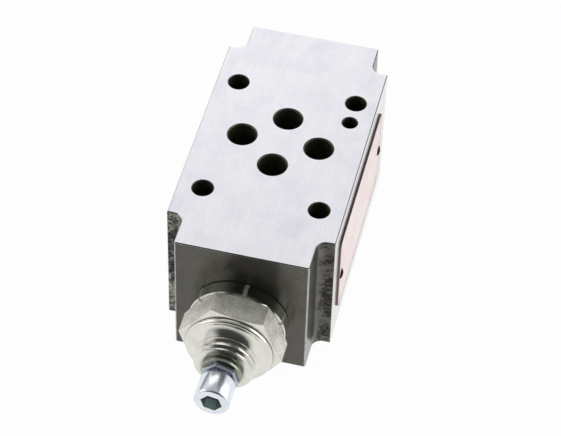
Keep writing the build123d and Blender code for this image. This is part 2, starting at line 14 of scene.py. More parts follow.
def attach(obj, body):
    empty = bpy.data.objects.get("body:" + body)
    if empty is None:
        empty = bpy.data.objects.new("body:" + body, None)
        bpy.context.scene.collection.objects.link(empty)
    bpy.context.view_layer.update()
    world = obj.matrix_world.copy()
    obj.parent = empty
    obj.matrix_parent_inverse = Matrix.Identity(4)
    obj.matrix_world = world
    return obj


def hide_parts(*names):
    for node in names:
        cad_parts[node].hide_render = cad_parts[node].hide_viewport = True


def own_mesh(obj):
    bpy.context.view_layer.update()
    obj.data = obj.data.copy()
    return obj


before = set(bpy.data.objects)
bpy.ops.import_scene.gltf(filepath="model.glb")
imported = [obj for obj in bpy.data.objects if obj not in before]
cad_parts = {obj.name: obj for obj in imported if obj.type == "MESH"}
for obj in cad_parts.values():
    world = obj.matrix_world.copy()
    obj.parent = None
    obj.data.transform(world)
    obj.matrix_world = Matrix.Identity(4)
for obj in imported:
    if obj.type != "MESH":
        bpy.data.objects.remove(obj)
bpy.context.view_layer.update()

MM = 0.001
TINY = 0.01
AXIS_HEIGHT = 16.7
MERGE_DISTANCE = 0.0005 * MM
SMOOTH_ANGLE = math.radians(32)
SHARP_ANGLE = math.radians(28)
WHITE = (1.0, 1.0, 1.0, 1.0)
LOG = logging.getLogger("sandwich_valve")

Point = tuple[float, float]
Span = tuple[float, float]
Place = tuple[float, float, float]
Colour = tuple[float, float, float]
Socket = bpy.types.NodeSocket
Piece = bpy.types.Object
Material = bpy.types.Material


class Body(Enum):
    """Moving bodies of the frame."""

    BLOCK = "block"
    SPRING_PLATE = "spring_plate"
    SCREW = "adjusting_screw"
    WASHER = "seal_washer"
    NUT = "lock_nut"


class Slot(Enum):
    """Material slots of the record."""

    HOUSING = "housing"
    ZINC_STEEL = "zinc_steel"
    BRIGHT_ZINC = "bright_zinc"
    BLACK_STEEL = "plug_steel"
    SPRING_STEEL = "spring_steel"
    NAMEPLATE = "nameplate"


class Axis(Enum):
    """Directions that a piece is turned or drilled along."""

    X = "X"
    Y = "Y"
    Z = "Z"

    @property
    def direction(self) -> Vector:
        """Unit vector of the axis."""
        return Vector([float(self.value == letter) for letter in "XYZ"])

    @property
    def frame(self) -> Matrix:
        """Rotation that carries local Z onto the axis."""
        if self is Axis.X:
            return Matrix.Rotation(math.pi / 2, 4, "Y")
        if self is Axis.Y:
            return Matrix.Rotation(-math.pi / 2, 4, "X")
        return Matrix.Identity(4)


class Cut(Enum):
    """Ways in which a tool works on a piece."""

    TAKE = "DIFFERENCE"
    JOIN = "UNION"
    TRIM = "INTERSECT"


def srgb(red: int, green: int, blue: int) -> Colour:
    """Linear colour of a screen colour."""
    shares = (part / 255 for part in (red, green, blue))
    return tuple(s / 12.92 if s <= 0.04045 else ((s + 0.055) / 1.055) ** 2.4 for s in shares)


def shift(x: float, y: float, z: float) -> Matrix:
    """Move by millimetres."""
    return Matrix.Translation(Vector((x, y, z)) * MM)


def across_corners(flats: float) -> float:
    """Radius at the corners of a hexagon that measures so much across its flats."""
    return flats / 2 / math.cos(math.pi / 6)


def stepped(start: float, *steps: Point) -> list[Point]:
    """Outline of a solid with cylindrical steps.

    Args:
        start: Station of its first end.
        steps: End station and radius of each step.

    Returns:
        The outline, from the axis to the axis.
    """
    outline = [(start, 0.0)]
    for end, radius in steps:
        outline += [(outline[-1][0], radius), (end, radius)]
    return [*outline, (outline[-1][0], 0.0)]


def countersunk(start: float, end: float, radius: float, sink: float, past: float = 1.0) -> list[Point]:
    """Outline of a through hole whose two mouths are broken at 45 degrees.

    Args:
        start: Station of the first mouth.
        end: Station of the other mouth.
        radius: Radius of the hole.
        sink: Depth of the break.
        past: How far the tool stands out of each mouth.

    Returns:
        The outline, from the axis to the axis.
    """
    way = math.copysign(1, end - start)
    wide = radius + sink + past
    first, last = start - way * past, end + way * past
    middle = [(start + way * sink, radius), (end - way * sink, radius)]
    return [(first, 0), (first, wide), *middle, (last, wide), (last, 0)]


class Bench:
    """Mesh operators, used the way they are by hand. Sizes are in millimetres."""

    @staticmethod
    def take(piece: Piece) -> None:
        """Selects one piece alone and makes it active."""
        bpy.ops.object.select_all(action="DESELECT")
        piece.select_set(True)
        bpy.context.view_layer.objects.active = piece

    @staticmethod
    def place(name: str) -> Piece:
        """Names the piece just added and moves its place into its mesh.

        Args:
            name: Name of the piece and its mesh.

        Returns:
            The piece.
        """
        piece = bpy.context.object
        piece.name = piece.data.name = name
        bpy.ops.object.transform_apply(location=True, rotation=True, scale=True)
        return piece

    @staticmethod
    def select_all(kind: str) -> None:
        """Selects the whole mesh as VERT, EDGE or FACE, in edit mode."""
        bpy.ops.mesh.select_mode(type=kind)
        bpy.ops.mesh.select_all(action="SELECT")

    @staticmethod
    def open(piece: Piece, kind: str = "FACE") -> None:
        """Opens a piece in edit mode, with all of it selected."""
        Bench.take(piece)
        bpy.ops.object.mode_set(mode="EDIT")
        Bench.select_all(kind)

    @staticmethod
    def close() -> None:
        """Merges doubles, turns every face outwards and leaves edit mode."""
        bpy.ops.mesh.select_all(action="SELECT")
        bpy.ops.mesh.remove_doubles(threshold=MERGE_DISTANCE)
        bpy.ops.mesh.normals_make_consistent(inside=False)
        bpy.ops.object.mode_set(mode="OBJECT")

    @staticmethod
    def sheet(name: str, centre: Vector, size: Vector) -> Piece:
        """Adds a rectangle and leaves it open in edit mode, with its face selected.

        Args:
            name: Name of the piece.
            centre: Its middle.
            size: Its length along each axis, with 0 along the one that it faces, Y or Z.

        Returns:
            The piece.
        """
        upright = 0 if size.y else math.pi / 2
        bpy.ops.object.select_all(action="DESELECT")
        bpy.ops.mesh.primitive_plane_add(size=MM, location=centre * MM, rotation=(upright, 0, 0))
        piece = Bench.place(name)
        Bench.open(piece)
        bpy.ops.transform.resize(value=[part or 1 for part in size], center_override=centre * MM)
        return piece

    @staticmethod
    def pick(piece: Piece, kind: str, test: Callable[[Any], bool]) -> None:
        """Selects some vertices, edges or faces of the piece in edit mode.

        Args:
            piece: The piece in edit mode.
            kind: VERT, EDGE or FACE.
            test: Says which elements are taken.
        """
        bpy.ops.mesh.select_mode(type=kind)
        bpy.ops.mesh.select_all(action="DESELECT")
        mesh = bmesh.from_edit_mesh(piece.data)
        for element in {"VERT": mesh.verts, "EDGE": mesh.edges, "FACE": mesh.faces}[kind]:
            if test(element):
                element.select_set(True)
        mesh.select_flush_mode()
        bmesh.update_edit_mesh(piece.data, loop_triangles=False, destructive=False)

    @staticmethod
    def extrude(step: Vector) -> None:
        """Extrudes the selection by a step."""
        bpy.ops.mesh.extrude_region_move(TRANSFORM_OT_translate={"value": tuple(step * MM)})

    @staticmethod
    def thicken(step: Vector) -> None:
        """Extrudes the whole sheet by a step and turns its faces outwards."""
        Bench.select_all("FACE")
        Bench.extrude(step)
        bpy.ops.mesh.select_all(action="SELECT")
        bpy.ops.mesh.normals_make_consistent(inside=False)

    @staticmethod
    def repeat(piece: Piece, places: Sequence[Matrix]) -> list[Piece]:
        """Copies a piece to its places, each copy with its own mesh, and uses the piece up.

        Args:
            piece: The piece, modelled at the origin.
            places: How each copy is turned and moved.

        Returns:
            The copies.
        """
        copies = []
        for place in places:
            Bench.take(piece)
            bpy.ops.object.duplicate(linked=False)
            bpy.context.object.matrix_world = place
            copies.append(Bench.place(piece.name))
        bpy.data.objects.remove(piece)
        return copies

    @staticmethod
    def combine(piece: Piece, tool: Piece, cut: Cut) -> None:
        """Works on the piece with a tool, which is used up.

        Args:
            piece: The piece.
            tool: The cutter or the added form.
            cut: What the tool does.
        """
        Bench.take(piece)
        modifier = piece.modifiers.new("cut", "BOOLEAN")
        modifier.operation, modifier.object, modifier.solver = cut.value, tool, "MANIFOLD"
        modifier.material_mode = "TRANSFER"
        bpy.ops.object.modifier_apply(modifier=modifier.name)
        bpy.data.objects.remove(tool)

    @staticmethod
    def soften(piece: Piece, width: float) -> None:
        """Rounds the sharp edges of a piece.

        Args:
            piece: The piece.
            width: Width of the rounding.
        """
        Bench.take(piece)
        bevel = piece.modifiers.new("edge", "BEVEL")
        bevel.width, bevel.segments = width * MM, 2
        bevel.limit_method, bevel.angle_limit = "ANGLE", SHARP_ANGLE
        bpy.ops.object.modifier_apply(modifier=bevel.name)

    @staticmethod
    def finish(piece: Piece, body: Body, slot: Slot, node: str) -> None:
        """Shades the piece and ties it to the frame.

        Args:
            piece: The piece.
            body: Body that it rides on.
            slot: Record slot that its finish belongs to; not used.
            node: Node that it stands for.
        """
        Bench.take(piece)
        bpy.ops.object.shade_smooth_by_angle(angle=SMOOTH_ANGLE)
        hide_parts(node)
        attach(piece, body.value)
        LOG.info("%s: %d faces, rides on %s", piece.name, len(piece.data.polygons), body.value)


@dataclass(frozen=True)
class Turning:
    """Form turned from an outline of (station, radius) points.

    An outline that starts on the axis gives a solid, and any other one a ring that closes on itself.
    With six segments it is a hexagonal bar, whose radius is the one across its corners.
    """

    outline: Sequence[Point]
    axis: Axis = Axis.X
    origin: Place = (0.0, 0.0, AXIS_HEIGHT)
    segments: int = 96
    turn: float = 0.0

    def build(self, name: str, material: Material) -> Piece:
        """Extrudes and resizes a circle along the outline.

        Args:
            name: Name of the form.
            material: Its finish.

        Returns:
            The new object.
        """
        solid = self.outline[0][1] == 0
        path = list(self.outline[1:]) if solid else [*self.outline, self.outline[0]]
        station, radius = path[0]
        along, origin = self.axis.direction, Vector(self.origin)
        bpy.ops.object.select_all(action="DESELECT")
        bpy.ops.mesh.primitive_circle_add(
            vertices=self.segments,
            radius=radius * MM,
            fill_type="NGON" if solid else "NOTHING",
            location=(origin + along * station) * MM,
            rotation=(self.axis.frame @ Matrix.Rotation(math.radians(self.turn), 4, "Z")).to_euler(),
        )
        form = Bench.place(name)
        Bench.open(form, "VERT")
        for next_station, next_radius in path[1:]:
            if next_radius == 0 and next_station == station:
                break
            Bench.extrude(along * (next_station - station))
            if next_radius == 0:
                bpy.ops.mesh.merge(type="CENTER")
                break
            bpy.ops.transform.resize(
                value=[1.0 if part else next_radius / radius for part in along],
                center_override=(origin + along * next_station) * MM,
            )
            station, radius = next_station, next_radius
        Bench.close()
        form.data.materials.append(material)
        return form


@dataclass(frozen=True)
class Thread:
    """Outside thread on the valve axis: a helical ridge inside the envelope that trims it."""

    major: float
    minor: float
    pitch: float
    start: float
    end: float
    envelope: Sequence[Point]
    steps: int = 64
    segments: int = 96
    sunk: float = 0.15
    proud: float = 0.04
    root_share: float = 0.94
    crest_share: float = 0.16

    def build(self, material: Material) -> Piece:
        """Winds a trapezoid along the thread with the Screw modifier and trims it.

        Args:
            material: Its finish.

        Returns:
            A closed helical bar whose foot lies inside the core.
        """
        foot, crest = self.minor / 2 - self.sunk, self.major / 2 + self.proud
        middle = (foot + crest) / 2
        size = Vector((self.root_share * self.pitch, 0, crest - foot))
        ridge = Bench.sheet("thread_ridge", Vector((0, 0, middle)), size)
        Bench.pick(ridge, "VERT", lambda v: v.co.z > middle * MM)
        bpy.ops.transform.resize(value=(self.crest_share, 1, 1), center_override=(0, 0, crest * MM))
        Bench.select_all("FACE")
        bpy.ops.mesh.delete(type="ONLY_FACE")
        bpy.ops.object.mode_set(mode="OBJECT")
        self.wind(ridge)
        ridge.data.materials.append(material)
        limit = Turning(self.envelope, segments=self.segments).build("thread_limit", material)
        Bench.combine(ridge, limit, Cut.TRIM)
        return ridge

    def wind(self, ridge: Piece) -> None:
        """Winds the section into a closed helix at its place.

        Args:
            ridge: The open section in object mode.
        """
        Bench.take(ridge)
        screw = ridge.modifiers.new("thread", "SCREW")
        screw.axis, screw.angle, screw.screw_offset = "X", 2 * math.pi, self.pitch * MM
        screw.iterations = math.ceil((self.end - self.start) / self.pitch)
        screw.steps = screw.render_steps = self.steps
        bpy.ops.object.modifier_apply(modifier=screw.name)
        ridge.location = Vector((self.start, 0, AXIS_HEIGHT)) * MM
        bpy.ops.object.transform_apply(location=True, rotation=True, scale=True)
        Bench.open(ridge)
        bpy.ops.mesh.remove_doubles(threshold=MERGE_DISTANCE)
        bpy.ops.mesh.fill_holes(sides=0)
        Bench.close()


@dataclass(frozen=True)
class Hexagon:
    """Spanner hexagon on the valve axis, with its corners turned back and its edges softened.

    Each cut gives how far it reaches along the hexagon and the radius that it leaves at the end face.
    """

    across_flats: float
    back: float
    front: float
    back_cut: Point
    front_cut: Point
    turn: float
    softening: float
    bore: float = 0.0

    def build(self, name: str, flats: Material, turned: Material) -> Piece:
        """Trims a hexagonal bar with a turned form.

        Args:
            name: Name of the piece.
            flats: Finish of its flats.
            turned: Finish where it is turned.

        Returns:
            The hexagon.
        """
        back, front, bore = self.back, self.front, self.bore
        corner = across_corners(self.across_flats)
        outline = ((back, bore), (back, corner), (front, corner), (front, bore))
        bar = Turning(outline, segments=6, turn=self.turn).build(name, flats)
        core = max(bore - 1, 0)
        limits = (
            (back, core), (back, self.back_cut[1]), (back - self.back_cut[0], corner + TINY),
            (front + self.front_cut[0], corner + TINY), (front, self.front_cut[1]), (front, core),
        )
        limit = Turning(limits, segments=72, turn=self.turn).build("hexagon_limit", turned)
        Bench.combine(bar, limit, Cut.TRIM)
        Bench.soften(bar, self.softening)
        return bar


@dataclass(frozen=True)
class RivetHoles:
    """Holes of the nameplate's rivets, in the block and in the plate."""

    stations: Sequence[float] = (-22.6, 23.8)
    height: float = 20.0
    radius: float = 1.05
    depth: Span = (-24.0, -19.0)

    def drills(self, material: Material) -> list[Piece]:
        """Drills for the holes.

        Args:
            material: Finish of their walls.

        Returns:
            One drill for each hole.
        """
        start, end = self.depth
        outline = stepped(start, (end, self.radius))
        drill = Turning(outline, Axis.Y, (0, 0, 0), 32).build("rivet_drill", material)
        return Bench.repeat(drill, [shift(x, 0, self.height) for x in self.stations])


class Sketch:
    """Adds nodes to one tree in short form."""

    def __init__(self, tree: bpy.types.NodeTree) -> None:
        """Keeps the tree that the nodes go into."""
        self.tree = tree

    @classmethod
    def blank(cls, owner: Material | bpy.types.World) -> "Sketch":
        """Starts the tree of a material or a world afresh.

        Args:
            owner: The material or the world.

        Returns:
            The sketch of its tree.
        """
        owner.use_nodes = True
        owner.node_tree.nodes.clear()
        return cls(owner.node_tree)

    @property
    def place(self) -> Socket:
        """Object coordinates."""
        return self.add("TexCoord").outputs["Object"]

    def feed(self, node: bpy.types.Node, inputs: dict[str | int, Any]) -> None:
        """Sets or links inputs of a node.

        Args:
            node: The node.
            inputs: Value or output socket for each named or numbered input.
        """
        for key, value in inputs.items():
            if isinstance(value, Socket):
                self.tree.links.new(value, node.inputs[key])
            else:
                node.inputs[key].default_value = value

    def add(self, kind: str, inputs: dict[str | int, Any] | None = None, **settings: Any) -> bpy.types.Node:
        """Adds a node with its settings, values and links.

        Args:
            kind: Node type without its ShaderNode prefix.
            inputs: Value or output socket for each named or numbered input.
            settings: Properties of the node itself.

        Returns:
            The node.
        """
        node = self.tree.nodes.new("ShaderNode" + kind)
        for key, value in settings.items():
            setattr(node, key, value)
        self.feed(node, inputs or {})
        return node

    def math(self, operation: str, *values: Any) -> Socket:
        """Result of a Math node."""
        return self.add("Math", dict(enumerate(values)), operation=operation).outputs[0]

    def times(self, first: Any, second: Any) -> Socket:
        """Product of two values."""
        return self.math("MULTIPLY", first, second)

    def plus(self, first: Any, second: Any) -> Socket:
        """Sum of two values."""
        return self.math("ADD", first, second)

    def minus(self, first: Any, second: Any) -> Socket:
        """First value less the second."""
        return self.math("SUBTRACT", first, second)

    def vector(self, operation: str, *values: Any) -> Socket:
        """Result of a Vector Math node, a number where the operation gives one."""
        node = self.add("VectorMath", dict(enumerate(values)), operation=operation)
        return node.outputs["Value" if operation in ("LENGTH", "DOT_PRODUCT") else "Vector"]

    def split(self, vector: Socket) -> bpy.types.NodeOutputs:
        """The three parts of a vector."""
        return self.add("SeparateXYZ", {0: vector}).outputs

    def join(self, *parts: Any) -> Socket:
        """Vector of up to three parts."""
        return self.add("CombineXYZ", dict(enumerate(parts))).outputs[0]

    def noise(self, place: Socket, scale: Any, detail: float, roughness: float = 0.5) -> Socket:
        """Noise from 0 to 1 over a place."""
        inputs = {"Vector": place, "Scale": scale, "Detail": detail, "Roughness": roughness}
        return self.add("TexNoise", inputs).outputs[0]

    def stripes(self, station: Socket, scale: float) -> Socket:
        """Noise that varies along one measure only."""
        inputs = {"W": station, "Scale": scale, "Detail": 2.0}
        return self.add("TexNoise", inputs, noise_dimensions="1D").outputs[0]

    def ramp(self, value: Any, low: float, high: float, start: Any = 0.0, end: Any = 1.0) -> Socket:
        """Smooth step of a value."""
        inputs = {"Value": value, "From Min": low, "From Max": high, "To Min": start, "To Max": end}
        return self.add("MapRange", inputs, interpolation_type="SMOOTHSTEP").outputs[0]

    def mix(self, factor: Any, first: Any, second: Any) -> Socket:
        """Blend of two colours."""
        first, second = (c if isinstance(c, Socket) else (*c, 1.0) for c in (first, second))
        return self.add("Mix", {0: factor, 6: first, 7: second}, data_type="RGBA").outputs[2]

    def bump(self, height: Any, depth: float) -> Socket:
        """Normal of a relief whose height of 1 stands for so many millimetres."""
        return self.add("Bump", {"Height": height, "Distance": depth * MM, "Strength": 1.0}).outputs[0]

    def group(self, effect: "type[Effect]", **values: Any) -> bpy.types.NodeOutputs:
        """Places a shared effect with its own values and gives its outputs."""
        return self.add("Group", values, node_tree=effect.tree()).outputs

    def tone(self, effect: "type[Effect]", **values: Any) -> Socket:
        """Places a shared effect with its own values and gives its first output."""
        return self.group(effect, **values)[0]


class Effect:
    """Surface effect that several finishes share, built once as a node group."""

    title = "effect"
    entries: dict[str, float] = {}
    exits: tuple[str, ...] = ()

    @classmethod
    def tree(cls) -> bpy.types.NodeTree:
        """The group, made when it is first asked for."""
        found = bpy.data.node_groups.get(cls.title)
        if found:
            return found
        tree = bpy.data.node_groups.new(cls.title, "ShaderNodeTree")
        for name, value in cls.entries.items():
            entry = tree.interface.new_socket(name, in_out="INPUT", socket_type="NodeSocketFloat")
            entry.default_value = value
        for name in cls.exits:
            tree.interface.new_socket(name, in_out="OUTPUT", socket_type="NodeSocketFloat")
        start, end = tree.nodes.new("NodeGroupInput"), tree.nodes.new("NodeGroupOutput")
        results = cls.draw(Sketch(tree), start.outputs)
        for name, result in zip(cls.exits, results):
            tree.links.new(result, end.inputs[name])
        return tree

    @classmethod
    def draw(cls, sketch: Sketch, entry: bpy.types.NodeOutputs) -> tuple[Socket, ...]:
        """Lays out the nodes of the group."""
        raise NotImplementedError


class Blotches(Effect):
    """Soft uneven patches, as of handling, oil film or uneven plating."""

    title = "blotches"
    entries = {"Size": 8.0, "Low": 0.35, "High": 0.65}
    exits = ("Tone",)

    @classmethod
    def draw(cls, sketch: Sketch, entry: bpy.types.NodeOutputs) -> tuple[Socket, ...]:
        """Noise in steps of Size millimetres, spread between Low and High."""
        scale = sketch.math("DIVIDE", 1 / MM, entry["Size"])
        noise = sketch.noise(sketch.place, scale, 4.0, 0.55)
        return (sketch.ramp(noise, entry["Low"], entry["High"]),)


class GrindingLines(Effect):
    """Fine straight marks of a surface grinder, along X."""

    title = "grinding_lines"
    entries = {"Width": 0.12, "Length": 12.0}
    exits = ("Tone",)

    @classmethod
    def draw(cls, sketch: Sketch, entry: bpy.types.NodeOutputs) -> tuple[Socket, ...]:
        """Noise that is stretched along the marks and broken into streaks."""
        along, across = (sketch.math("DIVIDE", 1 / MM, entry[name]) for name in ("Length", "Width"))
        lines = sketch.vector("MULTIPLY", sketch.place, sketch.join(along, across, along))
        return (sketch.noise(lines, 1.0, 3.0, 0.7),)


class TurningRings(Effect):
    """Tool marks round the valve axis, on cylinders as on flat faces."""

    title = "turning_rings"
    entries = {"Feed": 0.12}
    exits = ("Tone",)

    @classmethod
    def draw(cls, sketch: Sketch, entry: bpy.types.NodeOutputs) -> tuple[Socket, ...]:
        """Noise of the station plus the radius, which varies across each mark only."""
        x, y, z = sketch.split(sketch.place)
        radius = sketch.vector("LENGTH", sketch.join(0.0, y, sketch.minus(z, AXIS_HEIGHT * MM)))
        cut = sketch.plus(x, sketch.times(radius, 1.37))
        line = sketch.math("DIVIDE", cut, sketch.times(entry["Feed"], MM))
        return (sketch.stripes(line, 1.0),)


class EdgeWear(Effect):
    """Mask of the sharp edges, broken up as real wear is."""

    title = "edge_wear"
    entries = {"Radius": 0.25, "Breakup": 0.4}
    exits = ("Mask",)

    @classmethod
    def draw(cls, sketch: Sketch, entry: bpy.types.NodeOutputs) -> tuple[Socket, ...]:
        """How far the rounded normal leaves the true one, less a noise."""
        rounded = sketch.add("Bevel", {"Radius": sketch.times(entry["Radius"], MM)}, samples=6).outputs[0]
        true = sketch.add("NewGeometry").outputs["True Normal"]
        bent = sketch.minus(1.0, sketch.vector("DOT_PRODUCT", rounded, true))
        noise = sketch.noise(sketch.place, 1.1 / MM, 3.0)
        loss = sketch.times(sketch.minus(noise, 0.5), entry["Breakup"])
        return (sketch.ramp(sketch.plus(bent, loss), 0.04, 0.2),)


class CastPits(Effect):
    """Pits and grit of a cast surface."""

    title = "cast_pits"
    entries = {"Size": 1.1, "Spread": 0.0}
    exits = ("Pits", "Height")

    @classmethod
    def draw(cls, sketch: Sketch, entry: bpy.types.NodeOutputs) -> tuple[Socket, ...]:
        """Ragged pits, wider than high and in clusters, over a fine grit."""
        place = sketch.place
        flat = sketch.vector("MULTIPLY", place, (1.0, 1.0, 1.9))
        scale = sketch.math("DIVIDE", 1 / MM, entry["Size"])
        ragged = sketch.noise(flat, scale, 5.0, 0.72)
        picked = sketch.noise(place, 0.16 / MM, 2.0)
        clustered = sketch.ramp(picked, 0.38, 0.6, 0.5, 0.68)
        limit = sketch.minus(clustered, sketch.times(entry["Spread"], 0.11))
        torn = sketch.ramp(sketch.minus(ragged, limit), -0.02, 0.05, 0.0, 0.7)
        cells = sketch.add("TexVoronoi", {"Vector": flat, "Scale": sketch.times(scale, 0.95)})
        span = sketch.plus(cells.outputs["Distance"], sketch.times(sketch.minus(ragged, 0.5), 0.9))
        reach = sketch.plus(sketch.ramp(picked, 0.42, 0.6, 0.34, 0.1), sketch.times(entry["Spread"], 0.16))
        depth = sketch.math("MAXIMUM", torn, sketch.ramp(sketch.minus(reach, span), -0.03, 0.05))
        grit = sketch.noise(place, 4.0 / MM, 3.0)
        return depth, sketch.minus(sketch.times(grit, 0.4), depth)


@dataclass(frozen=True)
class Finish:
    """A named surface finish. Subclasses lay out its nodes."""

    name: str

    def material(self) -> Material:
        """The material, made when it is first asked for."""
        found = bpy.data.materials.get(self.name)
        if found:
            return found
        made = bpy.data.materials.new(self.name)
        sketch = Sketch.blank(made)
        shader = sketch.add("BsdfPrincipled")
        sketch.add("OutputMaterial", {0: shader.outputs[0]})
        sketch.feed(shader, self.paint(sketch))
        return made

    def paint(self, sketch: Sketch) -> dict[str, Any]:
        """Lays out the pattern of the finish."""
        raise NotImplementedError


@dataclass(frozen=True)
class GroundFace(Finish):
    """Stacking face off the surface grinder, with faint blotches and a bluish stain."""

    light: Colour = srgb(246, 245, 250)
    shade: Colour = srgb(226, 226, 236)
    stain: Colour = srgb(214, 216, 238)
    roughness: Span = (0.38, 0.48)
    relief: float = 0.003

    def paint(self, sketch: Sketch) -> dict[str, Any]:
        """Pale satin steel with grinding lines."""
        lines = sketch.tone(GrindingLines, Width=0.16, Length=9.0)
        fine = sketch.tone(Blotches, Size=1.1, Low=0.3, High=0.75)
        patches = sketch.tone(Blotches, Size=9.0, Low=0.4, High=0.75)
        film = sketch.tone(Blotches, Size=14.0, Low=0.52, High=0.66)
        colour = sketch.mix(sketch.times(patches, 0.45), self.light, self.shade)
        colour = sketch.mix(sketch.times(film, 0.25), colour, self.stain)
        colour = sketch.mix(sketch.times(fine, 0.25), colour, self.shade)
        colour = sketch.mix(sketch.ramp(lines, 0.35, 0.8, 0.0, 0.4), colour, self.shade)
        rough = sketch.ramp(lines, 0.3, 0.7, *self.roughness)
        normal = sketch.bump(lines, self.relief)
        return {"Base Color": colour, "Metallic": 0.6, "Roughness": rough, "Normal": normal}


@dataclass(frozen=True)
class CoatedFace(Finish):
    """Milled face under a dark phosphate coat, bright at its upright edges, with a painted reflection on
    upright faces seen at a glancing view.
    """

    coat: Colour = srgb(94, 92, 86)
    deep: Colour = srgb(76, 74, 68)
    bright: Colour = srgb(206, 205, 200)
    painted_glancing_reflection: Colour = srgb(226, 226, 228)
    roughness: float = 0.25
    relief: float = 0.001

    def paint(self, sketch: Sketch) -> dict[str, Any]:
        """Dark satin metal with milling lines, a few specks, worn edges and a painted reflection at a
        glancing view.
        """
        # Painted reflection: upright faces turn to a pale colour where they are seen at a glancing view.
        painted_reflection_mask = sketch.ramp(sketch.add("LayerWeight", {"Blend": 0.5}).outputs["Facing"], 0.68, 0.86)
        slope = sketch.split(sketch.add("NewGeometry").outputs["True Normal"])[2]
        upright = sketch.ramp(sketch.math("ABSOLUTE", slope), 0.2, 0.6, 1.0, 0.0)
        lines = sketch.tone(GrindingLines, Width=0.3, Length=20.0)
        patches = sketch.tone(Blotches, Size=5.0, Low=0.3, High=0.75)
        specks = sketch.tone(Blotches, Size=0.5, Low=0.76, High=0.8)
        worn = sketch.times(sketch.tone(EdgeWear, Radius=0.8, Breakup=0.3), upright)
        colour = sketch.mix(sketch.times(patches, 0.6), self.coat, self.deep)
        colour = sketch.mix(sketch.times(painted_reflection_mask, upright), colour, self.painted_glancing_reflection)
        colour = sketch.mix(sketch.math("MAXIMUM", specks, worn), colour, self.bright)
        rough = sketch.ramp(lines, 0.3, 0.7, self.roughness, self.roughness + 0.02)
        normal = sketch.bump(lines, self.relief)
        return {"Base Color": colour, "Metallic": 0.85, "Roughness": rough, "Normal": normal}


@dataclass(frozen=True)
class CastSkin(Finish):
    """Cast skin left in the notches: smooth by the end faces, torn on the steps, most of all at +Y."""

    skin: Colour = srgb(110, 109, 103)
    dull: Colour = srgb(92, 84, 78)
    pit: Colour = srgb(22, 16, 14)
    rough_skin: Colour = srgb(172, 170, 163)
    deep_pit: Colour = srgb(5, 5, 4)
    worn: Colour = srgb(190, 188, 184)
    step: Span = (17.6, 19.8)
    roughness: Span = (0.26, 0.42)
    relief: float = 0.2

    def paint(self, sketch: Sketch) -> dict[str, Any]:
        """Dull dark iron, uneven in tone, with pits and worn edges."""
        side = sketch.split(sketch.place)[1]
        rougher = sketch.ramp(side, 0.0, 5 * MM)
        pits = sketch.group(CastPits, Size=1.2, Spread=rougher)
        tint = sketch.tone(Blotches, Size=1.3, Low=0.35, High=0.65)
        near, far = (value * MM for value in self.step)
        torn = sketch.ramp(sketch.math("ABSOLUTE", side), near, far)
        colour = sketch.mix(rougher, self.skin, self.rough_skin)
        colour = sketch.mix(sketch.times(tint, torn), colour, self.dull)
        pit = sketch.mix(rougher, self.pit, self.deep_pit)
        colour = sketch.mix(sketch.times(pits["Pits"], torn), colour, pit)
        colour = sketch.mix(sketch.tone(EdgeWear, Radius=0.5, Breakup=0.3), colour, self.worn)
        rough = sketch.ramp(torn, 0.0, 1.0, *self.roughness)
        normal = sketch.bump(sketch.times(pits["Height"], torn), self.relief)
        return {"Base Color": colour, "Metallic": 0.75, "Roughness": rough, "Normal": normal}


@dataclass(frozen=True)
class DrilledBore(Finish):
    """Walls of the bores, painted dark for the shade inside them."""

    wall: Colour = srgb(70, 68, 56)
    light: Colour = srgb(96, 93, 79)
    relief: float = 0.02

    def paint(self, sketch: Sketch) -> dict[str, Any]:
        """Metal painted nearly black for the shade in the bores, with drill rings."""
        patches = sketch.tone(Blotches, Size=1.5, Low=0.4, High=0.8)
        rings = sketch.stripes(sketch.split(sketch.place)[2], 5 / MM)
        colour = sketch.mix(patches, self.wall, self.light)
        normal = sketch.bump(rings, self.relief)
        return {"Base Color": colour, "Metallic": 0.5, "Roughness": 0.45, "Normal": normal}


@dataclass(frozen=True)
class Plating(Finish):
    """Metal with a plated or oiled surface, its tool marks, speckle and worn edges."""

    light: Colour = srgb(236, 235, 226)
    shade: Colour = srgb(206, 204, 194)
    worn: Colour = srgb(250, 249, 244)
    painted_recess_shade: Colour = srgb(70, 68, 62)
    roughness: float = 0.2
    metallic: float = 0.85
    marks: float = 0.006
    feed: float = 0.14
    speckle: float = 0.3
    gloss: float = 0.5
    recess: float = 0.0

    def paint(self, sketch: Sketch) -> dict[str, Any]:
        """Plated metal in two tones, with rings round the valve axis."""
        rings = sketch.tone(TurningRings, Feed=self.feed)
        grain = sketch.tone(Blotches, Size=0.3, Low=0.3, High=0.75)
        patches = sketch.tone(Blotches, Size=4.0, Low=0.35, High=0.7)
        worn = sketch.tone(EdgeWear, Radius=0.22, Breakup=0.35)
        speckle = sketch.times(grain, self.speckle)
        colour = sketch.mix(sketch.plus(speckle, sketch.times(patches, 0.4)), self.light, self.shade)
        colour = sketch.mix(sketch.times(worn, 0.8), colour, self.worn)
        # Painted shade: where recess is set, crevices that ambient occlusion finds are darkened towards a
        # dark colour.
        if self.recess:
            hidden = sketch.add("AmbientOcclusion", {"Distance": 1.6 * MM}, samples=8).outputs["AO"]
            colour = sketch.mix(sketch.ramp(hidden, 0.35, 0.9, self.recess, 0.0), colour, self.painted_recess_shade)
        rough = sketch.ramp(grain, 0.0, 1.0, self.roughness, self.roughness + 0.1)
        normal = sketch.bump(sketch.plus(rings, speckle), self.marks)
        sockets = {"Base Color": colour, "Metallic": self.metallic, "Roughness": rough, "Normal": normal}
        return sockets | {"Specular IOR Level": self.gloss}


